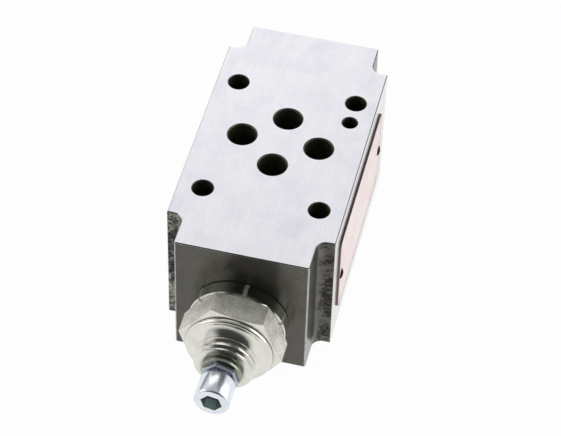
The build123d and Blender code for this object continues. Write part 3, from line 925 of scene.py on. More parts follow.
@dataclass(frozen=True)
class PolishedCollar(Finish):
    """Polished collar, with a dull mark above the middle of each spanner flat."""

    metal: Colour = srgb(218, 218, 210)
    mark: Colour = srgb(150, 149, 142)
    flat_angle: float = 38.4
    flats: float = 6.0
    relief: float = 0.002

    def paint(self, sketch: Sketch) -> dict[str, Any]:
        """Dark mirror with six ragged pale marks."""
        _, y, z = sketch.split(sketch.place)
        angle = sketch.math("ARCTAN2", sketch.minus(z, AXIS_HEIGHT * MM), y)
        ragged = sketch.times(sketch.tone(Blotches, Size=0.9, Low=0.2, High=0.8), 0.04)
        shifted = sketch.minus(angle, math.radians(self.flat_angle))
        wave = sketch.math("COSINE", sketch.times(shifted, self.flats))
        marked = sketch.ramp(sketch.plus(wave, ragged), 0.97, 1.03)
        colour = sketch.mix(marked, self.metal, self.mark)
        rough = sketch.plus(sketch.times(marked, 0.35), 0.1)
        metallic = sketch.minus(1.0, sketch.times(marked, 0.7))
        normal = sketch.bump(sketch.tone(TurningRings, Feed=0.1), self.relief)
        return {"Base Color": colour, "Metallic": metallic, "Roughness": rough, "Normal": normal}


@dataclass(frozen=True)
class SealStock(Finish):
    """Rubber or waxy plastic of the rings."""

    body: Colour = srgb(34, 34, 35)
    bloom: Colour = srgb(58, 58, 60)
    roughness: float = 0.6
    relief: float = 0.01

    def paint(self, sketch: Sketch) -> dict[str, Any]:
        """Matt stock with a faint bloom and mould grain."""
        bloom = sketch.tone(Blotches, Size=1.2, Low=0.4, High=0.8)
        grain = sketch.tone(Blotches, Size=0.15, Low=0.2, High=0.8)
        colour = sketch.mix(bloom, self.body, self.bloom)
        rough = sketch.ramp(bloom, 0.0, 1.0, self.roughness, self.roughness + 0.15)
        normal = sketch.bump(grain, self.relief)
        return {"Base Color": colour, "Metallic": 0.0, "Roughness": rough, "Normal": normal}


@dataclass(frozen=True)
class PlatePrint(Finish):
    """Face of the nameplate: a pale printed field in a dark margin, left bare; the margin is partly a printed
    border and partly painted shadow along the plate's edge.

    Its sizes are those of the plate, seen from the side.
    """

    field: Colour = srgb(255, 242, 240)
    tint: Colour = srgb(253, 224, 222)
    margin: Colour = srgb(84, 50, 48)
    lighter_end_tone: Colour = srgb(158, 128, 126)
    centre: Point = (0.45, 20.9)
    size: Point = (50.9, 25.8)
    corner: float = 2.5
    border: float = 0.6
    fading: Span = (1.0, 2.2)
    relief: float = 0.02

    def paint(self, sketch: Sketch) -> dict[str, Any]:
        """Pink print whose tint wanders, inside a dark margin of print and painted shadow that follows the
        rounded corners and turns lighter towards the ends.
        """
        x, _, z = sketch.split(sketch.place)
        beyond = []
        for value, centre, size in zip((x, z), self.centre, self.size):
            offset = sketch.math("ABSOLUTE", sketch.minus(value, centre * MM))
            past = sketch.minus(offset, (size / 2 - self.corner) * MM)
            beyond.append(sketch.math("MAXIMUM", past, 0.0))
        reach = sketch.vector("LENGTH", sketch.join(*beyond))
        rim = (self.corner - self.border) * MM
        inside = sketch.ramp(reach, rim - 0.08 * MM, rim, 1.0, 0.0)
        tint = sketch.tone(Blotches, Size=5.0, Low=0.4, High=0.7)
        grain = sketch.tone(Blotches, Size=0.3, Low=0.2, High=0.8)
        field = sketch.mix(sketch.times(tint, 0.7), self.field, self.tint)
        near, far = (value * MM for value in self.fading)
        # Dark margin: partly printed border, partly painted shadow along the plate's edge, lighter towards
        # the plate's ends.
        margin = sketch.mix(sketch.ramp(beyond[0], near, far), self.margin, self.lighter_end_tone)
        colour = sketch.mix(inside, margin, field)
        normal = sketch.bump(sketch.plus(inside, sketch.times(grain, 0.2)), self.relief)
        return {"Base Color": colour, "Metallic": 0.0, "Roughness": 0.35, "Normal": normal}


class Finishes:
    """The finishes of this valve."""

    GROUND = GroundFace("ground_face")
    COATED = CoatedFace("phosphated_face")
    # Lighter copy of the coat for the faces towards ±Y: painted light for the brighter look of the sides.
    PAINTED_LIGHT_SIDE = CoatedFace("phosphated_side_painted_lighter", coat=srgb(124, 122, 118), deep=srgb(106, 104, 100), roughness=0.22)
    CAST = CastSkin("cast_skin")
    # Lighter finish for the upper edge break towards +Y and the rounded upright corners: painted highlight
    # along these edges.
    EDGE = Plating(
        "painted_highlight_edge", light=srgb(206, 205, 201), shade=srgb(130, 129, 125), worn=srgb(226, 226, 224),
        roughness=0.3, metallic=0.7, speckle=0.6,
    )
    # Bore walls painted dark for the shade inside the bores.
    BORE = DrilledBore("painted_shade_bore")
    # Thread roots and grooves of the turned zinc get painted shade.
    TURNED_ZINC = Plating(
        "turned_zinc", light=srgb(226, 225, 217), shade=srgb(202, 200, 191), roughness=0.14, metallic=1.0,
        marks=0.004, speckle=0.15, recess=0.7,
    )
    FLATS_ZINC = Plating(
        "zinc_flats", light=srgb(250, 249, 240), shade=srgb(176, 174, 164), roughness=0.4,
        metallic=0.6, marks=0.02, speckle=0.9,
    )
    COLLAR = PolishedCollar("polished_collar")
    BLACK_STEEL = Plating(
        "black_steel", light=srgb(168, 174, 160), shade=srgb(118, 124, 113), worn=srgb(190, 192, 186),
        roughness=0.2, metallic=0.95, speckle=0.6,
    )
    BRIGHT_ZINC = Plating(
        "blue_white_zinc", light=srgb(240, 244, 250), shade=srgb(212, 219, 232), worn=srgb(252, 253, 255),
        roughness=0.19, metallic=0.9, marks=0.004, speckle=0.2,
    )
    NUT_ZINC = Plating(
        "dulled_zinc", light=srgb(172, 178, 188), shade=srgb(140, 147, 158), worn=srgb(240, 244, 250),
        roughness=0.14, metallic=1.0, marks=0.004, speckle=0.2,
    )
    SOCKET = Plating(
        "socket_wall", light=srgb(196, 210, 204), shade=srgb(150, 166, 160), worn=srgb(220, 230, 226),
        roughness=0.28, metallic=0.7,
    )
    HARD_STEEL = Plating(
        "hardened_steel", light=srgb(198, 198, 200), shade=srgb(166, 166, 168), roughness=0.2, feed=0.08,
    )
    SPRING_STEEL = Plating(
        "spring_wire", light=srgb(150, 150, 152), shade=srgb(112, 110, 108), roughness=0.3, metallic=0.85,
    )
    PLUG_STEEL = Plating(
        "blackened_plug", light=srgb(96, 96, 98), shade=srgb(70, 69, 70), worn=srgb(160, 160, 160),
        roughness=0.4, speckle=0.6,
    )
    RIVET_STEEL = Plating(
        "rivet_steel", light=srgb(66, 24, 20), shade=srgb(34, 11, 9), worn=srgb(96, 48, 42), roughness=0.75,
        metallic=0.0, speckle=0.6, gloss=0.05,
    )
    RUBBER = SealStock("seal_rubber")
    WAXY = SealStock("waxy_ring", body=srgb(236, 234, 228), bloom=srgb(222, 219, 210), roughness=0.4)
    PRINT = PlatePrint("plate_print")


@dataclass(frozen=True)
class ValveBlock:
    """Valve block: notched plan, ground faces, bores, cartridge cavity and rough notches.

    Each step of the cavity and of the gallery gives the station where it ends and its radius.
    """

    height: float = 40.0
    front: float = -40.4
    rear: float = 42.7
    wide_front: float = -30.6
    wide_rear: float = 33.3
    wide_width: float = 44.4
    end_width: float = 35.4
    notch_radius: float = 2.7
    corner_radius: float = 0.5
    top_break: float = 0.2
    bottom_break: float = 0.8
    ports: Sequence[Point] = ((1.25, -10.4), (-7.55, 0.0), (9.95, 0.0), (1.25, 10.4))
    port_radius: float = 3.75
    port_break: float = 0.37
    seal_recess: Point = (1.4, 6.2)
    bolts: Sequence[Point] = ((-20.25, 15.5), (20.25, 16.25), (20.25, -16.25), (-20.25, -15.5))
    bolt_radius: float = 2.75
    hole_break: float = 0.25
    pin: Point = (12.75, -16.25)
    pin_radius: float = 2.0
    pin_floor: float = 32.0
    drill_point: Point = (31.0, 0.5)
    cavity: Sequence[Point] = ((-38.6, 11.6), (-23.4, 10.0), (-15.2, 8.0), (-7.55, 2.5))
    cavity_mouth: float = -42.0
    gallery: Sequence[Point] = ((34.2, 4.0), (-25.0, 2.25))
    gallery_mouth: Place = (44.0, 9.0, AXIS_HEIGHT + 6.5)
    rivet_holes: RivetHoles = RivetHoles()
    rows: int = 96
    columns: Sequence[tuple[float, float, int]] = ((1.2, 2.5, 3), (2.5, 9.0, 12))
    smooth_width: float = 1.2
    calm_edge: float = 0.2

    def build(self) -> None:
        """Makes the block, dresses it and ties it to the frame."""
        block = self.outline()
        self.raise_walls(block)
        for finish in (Finishes.COATED, Finishes.PAINTED_LIGHT_SIDE, Finishes.GROUND, Finishes.CAST, Finishes.EDGE):
            block.data.materials.append(finish.material())
        for tool in self.tools(Finishes.BORE.material()):
            Bench.combine(block, tool, Cut.TAKE)
        self.divide_notches(block)
        self.roughen(block)
        self.dress(block)
        Bench.finish(block, Body.BLOCK, Slot.HOUSING, "housing")

    def outline(self) -> Piece:
        """Draws the plan view as one flat face.

        Returns:
            The face in edit mode, at the height of the bottom edge break.
        """
        centre = Vector(((self.front + self.rear) / 2, 0, self.bottom_break))
        block = Bench.sheet("valve_block", centre, Vector((self.rear - self.front, self.end_width, 0)))
        for station in (self.wide_front, self.wide_rear):
            bpy.ops.mesh.select_all(action="SELECT")
            bpy.ops.mesh.bisect(plane_co=(station * MM, 0, 0), plane_no=(1, 0, 0))
        for side in (-1, 1):
            Bench.pick(block, "EDGE", lambda e: self.on_middle_side(e, side * self.end_width / 2))
            Bench.extrude(Vector((0, side * (self.wide_width - self.end_width) / 2, 0)))
        Bench.select_all("FACE")
        bpy.ops.mesh.dissolve_faces()
        self.round_corners(block, (self.wide_front, self.wide_rear), self.notch_radius, 8)
        self.round_corners(block, (self.front, self.rear), self.corner_radius, 6)
        return block

    def on_middle_side(self, edge: bmesh.types.BMEdge, y: float) -> bool:
        """Whether an edge of the plan lies on the wide part's root at that y."""
        ends = [v.co / MM for v in edge.verts]
        return all(abs(p.y - y) < TINY and self.wide_front - TINY < p.x < self.wide_rear + TINY for p in ends)

    def round_corners(self, block: Piece, stations: Span, radius: float, segments: int) -> None:
        """Rounds corners of the plan.

        Args:
            block: The plan in edit mode.
            stations: X of the corners, which lie at the end width.
            radius: Radius in millimetres.
            segments: Segments of each arc.
        """
        def at_corner(vertex: bmesh.types.BMVert) -> bool:
            """Whether a vertex is one of those corners."""
            p = vertex.co / MM
            return abs(abs(p.y) - self.end_width / 2) < TINY and any(abs(p.x - s) < TINY for s in stations)

        Bench.pick(block, "VERT", at_corner)
        bpy.ops.mesh.bevel(offset=radius * MM, segments=segments, affect="VERTICES", clamp_overlap=False)

    def raise_walls(self, block: Piece) -> None:
        """Extrudes the plan and breaks its top and bottom edges.

        Args:
            block: The plan in edit mode, left in object mode as a closed solid.
        """
        Bench.thicken(Vector((0, 0, self.height - self.top_break - self.bottom_break)))
        for up, width in ((1, self.top_break), (-1, self.bottom_break)):
            Bench.pick(block, "FACE", lambda f: f.normal.z * up > 0.9)
            bpy.ops.mesh.inset(thickness=width * MM, depth=width * MM)
        self.mitre_corners(block)
        Bench.close()

    def mitre_corners(self, block: Piece) -> None:
        """Draws each corner of the bottom face into one point, as its break is wider than its radius.

        Args:
            block: The block in edit mode.
        """
        wide = self.bottom_break
        side = self.end_width / 2 - wide
        for x, y in product((self.front + wide, self.rear - wide), (-side, side)):
            corner = Vector((x, y, 0))
            Bench.pick(block, "VERT", lambda v: (v.co / MM - corner).length < self.corner_radius)
            bpy.ops.transform.resize(value=(0, 0, 0), center_override=corner * MM)

    def tools(self, bore: Material) -> list[Piece]:
        """Drills and cutters of the block.

        Args:
            bore: Finish of the walls that they leave.

        Returns:
            The tools, each at its place.
        """
        depth, recess = self.seal_recess
        seat = stepped(-1.0, (depth, recess), (depth, self.port_radius))[:-2]
        port = seat + countersunk(0, self.height, self.port_radius, self.port_break)[3:]
        bolt = countersunk(0, self.height, self.bolt_radius, self.hole_break)
        made = []
        for name, outline, places in (("port_drill", port, self.ports), ("bolt_drill", bolt, self.bolts)):
            drill = Turning(outline, Axis.Z, (0, 0, 0), 64).build(name, bore)
            made += Bench.repeat(drill, [shift(x, y, 0) for x, y in places])
        mouth = countersunk(self.height, 0, self.pin_radius, self.hole_break)[:3]
        pin = [*mouth, (self.pin_floor, self.pin_radius), self.drill_point, (self.drill_point[0], 0)]
        made.append(Turning(pin, Axis.Z, (*self.pin, 0), 48).build("pin_drill", bore))
        made.append(Turning(stepped(self.cavity_mouth, *self.cavity)).build("cavity_tool", bore))
        start, y, z = self.gallery_mouth
        gallery = Turning(stepped(start, *self.gallery), Axis.X, (0, y, z), 64)
        made.append(gallery.build("gallery_drill", bore))
        return made + self.rivet_holes.drills(bore)

    def in_notch(self, p: Vector) -> bool:
        """Whether a place in millimetres lies on a notch wall."""
        front = self.front + self.corner_radius - TINY < p.x < self.wide_front + TINY
        rear = self.wide_rear - TINY < p.x < self.rear - self.corner_radius + TINY
        return (front or rear) and self.end_width / 2 - TINY < abs(p.y) < self.wide_width / 2 + TINY

    def runs_up_wall(self, edge: bmesh.types.BMEdge) -> bool:
        """Whether an edge runs up a notch wall."""
        a, b = (v.co / MM for v in edge.verts)
        upright = abs(a.x - b.x) < TINY and abs(a.y - b.y) < TINY
        return upright and abs(a.z - b.z) > self.height / 2 and self.in_notch(a)

    def crosses_wall(self, edge: bmesh.types.BMEdge) -> bool:
        """Whether an edge lies level on one flat notch wall, between its edge breaks."""
        a, b = (v.co / MM for v in edge.verts)
        half = self.end_width / 2
        across = any(abs(a.x - s) < TINY and abs(b.x - s) < TINY for s in (self.wide_front, self.wide_rear))
        along = abs(abs(a.y) - half) < TINY and abs(abs(b.y) - half) < TINY
        level = abs(a.z - b.z) < TINY and self.bottom_break - TINY < a.z < self.height - self.top_break + TINY
        return (across or along) and level and self.in_notch(a) and self.in_notch(b)

    def divide_notches(self, block: Piece) -> None:
        """Divides the notch walls into small faces, so that they can be roughened.

        Args:
            block: The block in object mode.
        """
        Bench.open(block)
        Bench.pick(block, "EDGE", self.runs_up_wall)
        bpy.ops.mesh.subdivide(number_cuts=self.rows)
        for shortest, longest, cuts in self.columns:
            Bench.pick(
                block, "EDGE", lambda e: self.crosses_wall(e) and shortest < e.calc_length() / MM < longest
            )
            bpy.ops.mesh.subdivide(number_cuts=cuts)
        bpy.ops.object.mode_set(mode="OBJECT")

    def roughen(self, block: Piece) -> None:
        """Gives the notch walls their cast relief.

        Args:
            block: The block in object mode.
        """
        edge = self.calm_edge
        inner = []
        for vertex in block.data.vertices:
            p = vertex.co / MM
            level = self.bottom_break + edge < p.z < self.height - self.top_break - edge
            clear = self.front + self.corner_radius + edge < p.x < self.rear - self.corner_radius - edge
            if level and clear and self.in_notch(p) and abs(p.y) < self.wide_width / 2 - edge:
                inner.append(vertex.index)
        limit = (self.end_width / 2 + self.smooth_width) * MM
        smooth = [i for i in inner if abs(block.data.vertices[i].co.y) < limit]
        group = block.vertex_groups.new(name="cast_skin")
        group.add(inner, 1.0, "REPLACE")
        group.add(smooth, 0.2, "REPLACE")
        Bench.take(block)
        for name, kind, size, depth in (("lumps", "CLOUDS", 1.6, 0.28), ("grit", "STUCCI", 0.7, 0.16)):
            texture = bpy.data.textures.new("cast_" + name, kind)
            texture.noise_scale = size * MM
            relief = block.modifiers.new(name, "DISPLACE")
            relief.texture, relief.vertex_group = texture, group.name
            relief.strength, relief.mid_level = depth * MM, 0.5
            bpy.ops.object.modifier_apply(modifier=relief.name)

    def dress(self, block: Piece) -> None:
        """Gives each face of the block its finish, other than the walls of the bores.

        Args:
            block: The block in object mode.
        """
        names = [material.name for material in block.data.materials]
        coated = names.index(Finishes.COATED.name)
        for face in block.data.polygons:
            if face.material_index == coated:
                face.material_index = names.index(self.finish_of(face.normal, face.center / MM).name)

    def finish_of(self, normal: Vector, p: Vector) -> Finish:
        """Picks the finish of an outer face.

        Args:
            normal: Its normal.
            p: Its centre in millimetres.

        Returns:
            The finish.
        """
        if abs(normal.z) > 0.8:
            return Finishes.GROUND
        # The upper edge break towards +Y and the rounded upright corners get the painted highlight finish.
        if normal.z > 0.3 and normal.y > 0.3:
            return Finishes.EDGE
        if abs(normal.z) < 0.3 and self.on_corner(p):
            return Finishes.EDGE
        if abs(normal.z) < 0.3 and self.on_skin(p):
            return Finishes.CAST
        # Faces towards ±Y take the lighter copy of the coat, painted light for how bright the sides look.
        return Finishes.PAINTED_LIGHT_SIDE if abs(normal.y) > 0.9 else Finishes.COATED

    def on_corner(self, p: Vector) -> bool:
        """Whether a face centre belongs to a rounded upright corner."""
        inner = self.corner_radius - 0.08
        past = max(self.front + inner - p.x, p.x - self.rear + inner)
        return past > 0 and abs(p.y) > self.end_width / 2 - inner

    def on_skin(self, p: Vector) -> bool:
        """Whether a face centre belongs to a cast notch wall."""
        inner = self.corner_radius + 0.1
        front = self.front + inner < p.x < self.wide_front + 0.3
        rear = self.wide_rear - 0.3 < p.x < self.rear - inner
        return (front or rear) and self.end_width / 2 - 0.4 < abs(p.y) < self.wide_width / 2 - 0.05


@dataclass(frozen=True)
class Cartridge:
    """Cartridge body: nose, body thread, collar, hexagon, ring and cap thread, bored for the mechanism.

    A span gives the station nearer to the nose first.
    """

    nose: float = -15.7
    nose_radius: float = 7.95
    nose_chamfer: float = 0.5
    groove: Span = (-17.8, -20.4)
    groove_root: float = 6.6
    undercut: Span = (-22.8, -27.0)
    undercut_radius: float = 7.0
    cross_hole: Point = (-24.9, 1.3)
    cross_reach: float = 9.0
    body_end: float = -38.6
    neck_radius: float = 9.0
    collar: Span = (-40.4, -44.4)
    collar_radius: float = 12.9
    collar_chamfer: float = 0.3
    core_radius: float = 11.2
    ring: Sequence[Point] = (
        (-52.05, 11.5), (-52.15, 11.6), (-52.5, 11.6), (-52.77, 11.55), (-52.995, 11.395), (-53.15, 11.17),
        (-53.2, 10.9), (-53.2, 10.3),
    )
    bell: Sequence[Point] = (
        (-53.22, 10.2), (-53.4, 9.7), (-53.65, 9.2), (-53.95, 8.7), (-54.31, 8.2), (-54.75, 7.7),
        (-55.15, 7.32),
    )
    bell_foot: float = -55.35
    cap_end: float = -59.1
    cap_chamfer: float = 0.15
    screw_bore: float = 3.05
    chamber: Span = (-20.9, -54.171)
    chamber_radius: float = 5.3
    pocket_radius: float = 5.6
    retainer: Span = (-16.3, -17.1)
    retainer_radius: float = 6.0
    hexagon: Hexagon = Hexagon(
        24.0, -44.4, -51.9, (0.7, 12.0), (0.7, 11.65), turn=8.4, softening=0.14, bore=9.0
    )
    cap_thread: Thread = Thread(
        16.0, 14.5, 2.0, -61.36, -54.0,
        ((-54.8, 0), (-54.8, 7.0), (-55.15, 8.0), (-58.5, 8.0), (-59.02, 7.1), (-59.02, 0)),
    )
    body_thread: Thread = Thread(
        19.9, 18.2, 1.5, -40.0, -26.0,
        ((-27.0, 0), (-27.0, 9.45), (-27.5, 9.95), (-38.6, 9.95), (-38.6, 0)), 48,
    )

    def build(self) -> None:
        """Makes the cartridge body and ties it to the frame."""
        zinc = Finishes.TURNED_ZINC.material()
        body = Turning(self.outside() + self.inside()).build("cartridge_body", zinc)
        hexagon = self.hexagon.build("hexagon", Finishes.FLATS_ZINC.material(), zinc)
        Bench.combine(body, hexagon, Cut.JOIN)
        for thread in (self.cap_thread, self.body_thread):
            Bench.combine(body, thread.build(zinc), Cut.JOIN)
        station, radius = self.cross_hole
        outline = stepped(-self.cross_reach, (self.cross_reach, radius))
        drill = Turning(outline, Axis.Z, (0, 0, 0), 32).build("cross_drill", zinc)
        turns = (Matrix.Rotation(math.radians(angle), 4, "X") for angle in (45, 135))
        for tool in Bench.repeat(drill, [shift(station, 0, AXIS_HEIGHT) @ turn for turn in turns]):
            Bench.combine(body, tool, Cut.TAKE)
        self.polish_collar(body)
        Bench.finish(body, Body.BLOCK, Slot.ZINC_STEEL, "cartridge_sleeve")

    def polish_collar(self, body: Piece) -> None:
        """Gives the collar its smoother finish.

        Args:
            body: The cartridge body in object mode.
        """
        body.data.materials.append(Finishes.COLLAR.material())
        polished = len(body.data.materials) - 1
        back, front = self.collar
        for face in body.data.polygons:
            p = face.center / MM
            radius = math.hypot(p.y, p.z - AXIS_HEIGHT)
            if front - 0.05 < p.x < back and -1.0 < radius - self.collar_radius < 0.05:
                face.material_index = polished

    def outside(self) -> list[Point]:
        """Outer outline from the nose to the cap, with the threads at their roots.

        Returns:
            Its points.
        """
        body_root, cap_root = self.body_thread.minor / 2, self.cap_thread.minor / 2
        collar, edge = self.collar_radius, self.collar_chamfer
        return [
            (self.nose, self.nose_radius - self.nose_chamfer),
            (self.nose - self.nose_chamfer, self.nose_radius),
            (self.groove[0], self.nose_radius),
            (self.groove[0], self.groove_root),
            (self.groove[1], self.groove_root),
            (self.groove[1], self.nose_radius),
            (self.undercut[0], self.nose_radius),
            (self.undercut[0], self.undercut_radius),
            (self.undercut[1], self.undercut_radius),
            (self.undercut[1], body_root),
            (self.body_end, body_root),
            (self.body_end, self.neck_radius),
            (self.collar[0], self.neck_radius),
            (self.collar[0], collar - edge),
            (self.collar[0] - edge, collar),
            (self.collar[1] + edge, collar),
            (self.collar[1], collar - edge),
            (self.collar[1], self.core_radius),
            (self.ring[0][0], self.core_radius),
            *self.ring,
            *self.bell,
            (self.bell_foot, cap_root),
            (self.cap_end + self.cap_chamfer, cap_root),
            (self.cap_end, cap_root - self.cap_chamfer),
        ]

    def inside(self) -> list[Point]:
        """Outline of the bore from the cap back to the nose.

        Returns:
            Its points.
        """
        return [
            (self.cap_end, self.screw_bore),
            (self.chamber[1], self.screw_bore),
            (self.chamber[1], self.chamber_radius),
            (self.chamber[0], self.chamber_radius),
            (self.chamber[0], self.pocket_radius),
            (self.retainer[1], self.pocket_radius),
            (self.retainer[1], self.retainer_radius),
            (self.retainer[0], self.retainer_radius),
            (self.retainer[0], self.pocket_radius),
            (self.nose, self.pocket_radius),
        ]


@dataclass(frozen=True)
class AdjustingScrew:
    """Adjusting screw: round head with a hexagon socket, threaded shank and stop groove."""

    head_radius: float = 4.7
    back: float = -63.5
    front: float = -70.3
    back_round: Sequence[Point] = ((0.0, 0.2), (0.06, 0.06), (0.2, 0.0))
    crown: Sequence[Point] = ((0.6, 0.0), (0.36, 0.07), (0.12, 0.26), (0.0, 0.55))
    tip: float = -48.471
    ball_pocket: Point = (-49.771, 1.7)
    groove: Point = (-50.471, 2.6)
    relief: Sequence[Point] = ((-63.8, 3.6), (-63.5, 3.75))
    socket: float = 5.0
    socket_depth: float = 3.2
    socket_turn: float = 12.0
    thread: Thread = Thread(
        6.0, 4.9, 1.0, -65.0, -50.0,
        ((-50.471, 0), (-50.471, 2.6), (-50.9, 3.0), (-63.7, 3.0), (-63.7, 0)), 40, 64,
    )

    def build(self) -> None:
        """Makes the screw and ties it to the frame."""
        bright = Finishes.BRIGHT_ZINC.material()
        screw = Turning(self.outline(), segments=72).build("adjusting_screw_turned", bright)
        Bench.combine(screw, self.thread.build(bright), Cut.JOIN)
        for tool in self.sockets():
            Bench.combine(screw, tool, Cut.TAKE)
        Bench.finish(screw, Body.SCREW, Slot.BRIGHT_ZINC, "adjusting_screw")

    def outline(self) -> list[Point]:
        """Outline from the ball pocket to the head, with the thread at its root.

        Returns:
            Its points.
        """
        shank = self.thread.minor / 2
        head = self.head_radius
        return [
            *stepped(self.ball_pocket[0], (self.tip, self.ball_pocket[1]))[:-1],
            (self.tip, self.groove[1]),
            self.groove,
            (self.groove[0], shank),
            (self.relief[0][0], shank),
            *self.relief,
            *((self.back - along, head - inwards) for along, inwards in self.back_round),
            *((self.front + along, head - inwards) for along, inwards in self.crown),
            (self.front, 0),
        ]

    def sockets(self) -> list[Piece]:
        """Tools of the hexagon socket: its walls and its drill point.

        Returns:
            The tools.
        """
        floor = self.front + self.socket_depth
        hexagon = stepped(self.front - 1, (floor, across_corners(self.socket)))
        top = floor - 0.02
        point = ((top, 0), (top, self.socket / 2), (floor + self.socket / 6, 0))
        wall = Turning(hexagon, segments=6, turn=self.socket_turn)
        return [
            wall.build("socket_tool", Finishes.SOCKET.material()),
            Turning(point, segments=48).build("socket_point", Finishes.BRIGHT_ZINC.material()),
        ]


@dataclass(frozen=True)
class SealWasher:
    """Round washer that seals the screw thread."""

    back: float = -59.1
    front: float = -60.7
    radius: float = 5.4
    bore: float = 3.05
    edge: float = 0.25
    rounding: Sequence[Point] = ((0.0, 0.25), (0.07, 0.07), (0.25, 0.0))

    def build(self) -> None:
        """Makes the washer and ties it to the frame."""
        outline = (
            (self.back, self.bore),
            *((self.back - along, self.radius - inwards) for along, inwards in self.rounding),
            *((self.front + along, self.radius - inwards) for along, inwards in self.rounding[::-1]),
            (self.front, self.bore + self.edge),
            (self.front + self.edge, self.bore),
        )
        washer = Turning(outline, segments=72).build("seal_washer_turned", Finishes.BLACK_STEEL.material())
        Bench.finish(washer, Body.WASHER, Slot.BLACK_STEEL, "seal_washer")


@dataclass(frozen=True)
class LockNut:
    """Thin lock nut with turned-back corners and a countersunk thread."""

    hexagon: Hexagon = Hexagon(
        8.8, -60.7, -62.35, (0.1, across_corners(8.8) - 0.1), (0.13, across_corners(8.8) - 0.24),
        turn=17.2, softening=0.06,
    )
    bore: float = 3.05
    sink: float = 0.25

    def build(self) -> None:
        """Makes the nut and ties it to the frame."""
        bright = Finishes.NUT_ZINC.material()
        nut = self.hexagon.build("lock_nut_hexagon", bright, bright)
        bore = countersunk(self.hexagon.back, self.hexagon.front, self.bore, self.sink, past=0.5)
        Bench.combine(nut, Turning(bore, segments=48).build("nut_tap", bright), Cut.TAKE)
        Bench.finish(nut, Body.NUT, Slot.BRIGHT_ZINC, "lock_nut")


@dataclass(frozen=True)
class Nameplate:
    """Thin printed plate on the side face, left bare and as large as its print."""

    face: PlatePrint = Finishes.PRINT
    back: float = -22.2
    thickness: float = 0.5
    edge: float = 0.06
    groove: Point = (0.08, 0.04)
    rivet_holes: RivetHoles = RivetHoles()

    def build(self) -> None:
        """Makes the plate and ties it to the frame."""
        (x, z), (length, height) = self.face.centre, self.face.size
        plate = Bench.sheet("nameplate_sheet", Vector((x, self.back, z)), Vector((length, 0, height)))
        Bench.select_all("VERT")
        corner = self.face.corner * MM
        bpy.ops.mesh.bevel(offset=corner, segments=10, affect="VERTICES", clamp_overlap=False)
        Bench.thicken(Vector((0, self.edge - self.thickness, 0)))
        Bench.pick(plate, "FACE", lambda f: f.normal.y < -0.9)
        width, depth = self.groove
        for inset, out in ((self.edge, self.edge), (self.face.border, 0), (width, -depth)):
            bpy.ops.mesh.inset(thickness=inset * MM, depth=out * MM)
        Bench.close()
        printed = self.face.material()
        plate.data.materials.append(printed)
        for drill in self.rivet_holes.drills(printed):
            Bench.combine(plate, drill, Cut.TAKE)
        Bench.finish(plate, Body.BLOCK, Slot.NAMEPLATE, "nameplate")


class InnerParts:
    """Frame nodes whose shape is right: they get their finishes only."""

    FINISHES: dict[Finish, Sequence[str]] = {
        Finishes.RUBBER: ("port_seals", "collar_seal", "nose_seal", "spring_plate_seal"),
        Finishes.WAXY: ("nose_backup_ring",),
        Finishes.HARD_STEEL: ("valve_seat", "poppet", "spring_plate", "thrust_ball"),
        Finishes.SPRING_STEEL: ("seat_retainer", "screw_stop_ring"),
        Finishes.PLUG_STEEL: ("gallery_plug",),
        Finishes.RIVET_STEEL: ("nameplate_rivets",),
    }

    def build(self) -> None:
        """Assigns each finish to its nodes' slots."""
        for finish, nodes in self.FINISHES.items():
            for node in nodes:
                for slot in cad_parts[node].material_slots:
                    slot.material = finish.material()
                LOG.info("%s: %s", node, finish.name)


@dataclass(frozen=True)
class PressureSpring:
    """Spring copied from the frame's rigid one."""

    foot: float = -43.371
    length: float = 15.2
    poppet_travel: float = 1.5

    def build(self) -> None:
        """Makes the spring and ties it to the frame."""
        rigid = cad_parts["pressure_spring"]
        spring = bpy.data.objects.new("pressure_spring_coil", rigid.data.copy())
        bpy.context.scene.collection.objects.link(spring)
        spring.data.materials.clear()
        spring.data.materials.append(Finishes.SPRING_STEEL.material())
        Bench.open(spring)
        Bench.close()
        Bench.finish(spring, Body.SPRING_PLATE, Slot.SPRING_STEEL, "pressure_spring")
        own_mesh(spring)


@dataclass(frozen=True)
class Lamp:
    """Soft square lamp that faces the valve. Its place and size are in metres."""

    name: str
    place: Place
    size: float
    radiance: float

    def build(self, target: Vector) -> None:
        """Hangs the lamp.

        Args:
            target: Point that it faces, in metres.
        """
        bpy.ops.object.light_add(type="AREA", location=self.place)
        lamp = bpy.context.object
        lamp.name = self.name
        lamp.data.size = self.size
        lamp.data.energy = self.radiance * math.pi * self.size ** 2
        lamp.rotation_euler = (target - Vector(self.place)).to_track_quat("-Z", "Y").to_euler()


@dataclass(frozen=True)
class DarkCard:
    """Dark part of the surroundings: its direction, how wide it is and how much light it leaves."""

    direction: Place
    inner: float
    outer: float
    left: float

    def shade(self, sketch: Sketch, way: Socket) -> Socket:
        """Share of light that comes from each direction.

        Args:
            sketch: The world's tree.
            way: Direction of the ray.

        Returns:
            From what is left inside the card to 1 outside it.
        """
        match = sketch.vector("DOT_PRODUCT", way, tuple(Vector(self.direction).normalized()))
        low, high = (math.cos(math.radians(angle)) for angle in (self.outer, self.inner))
        return sketch.ramp(match, low, high, 1.0, self.left)


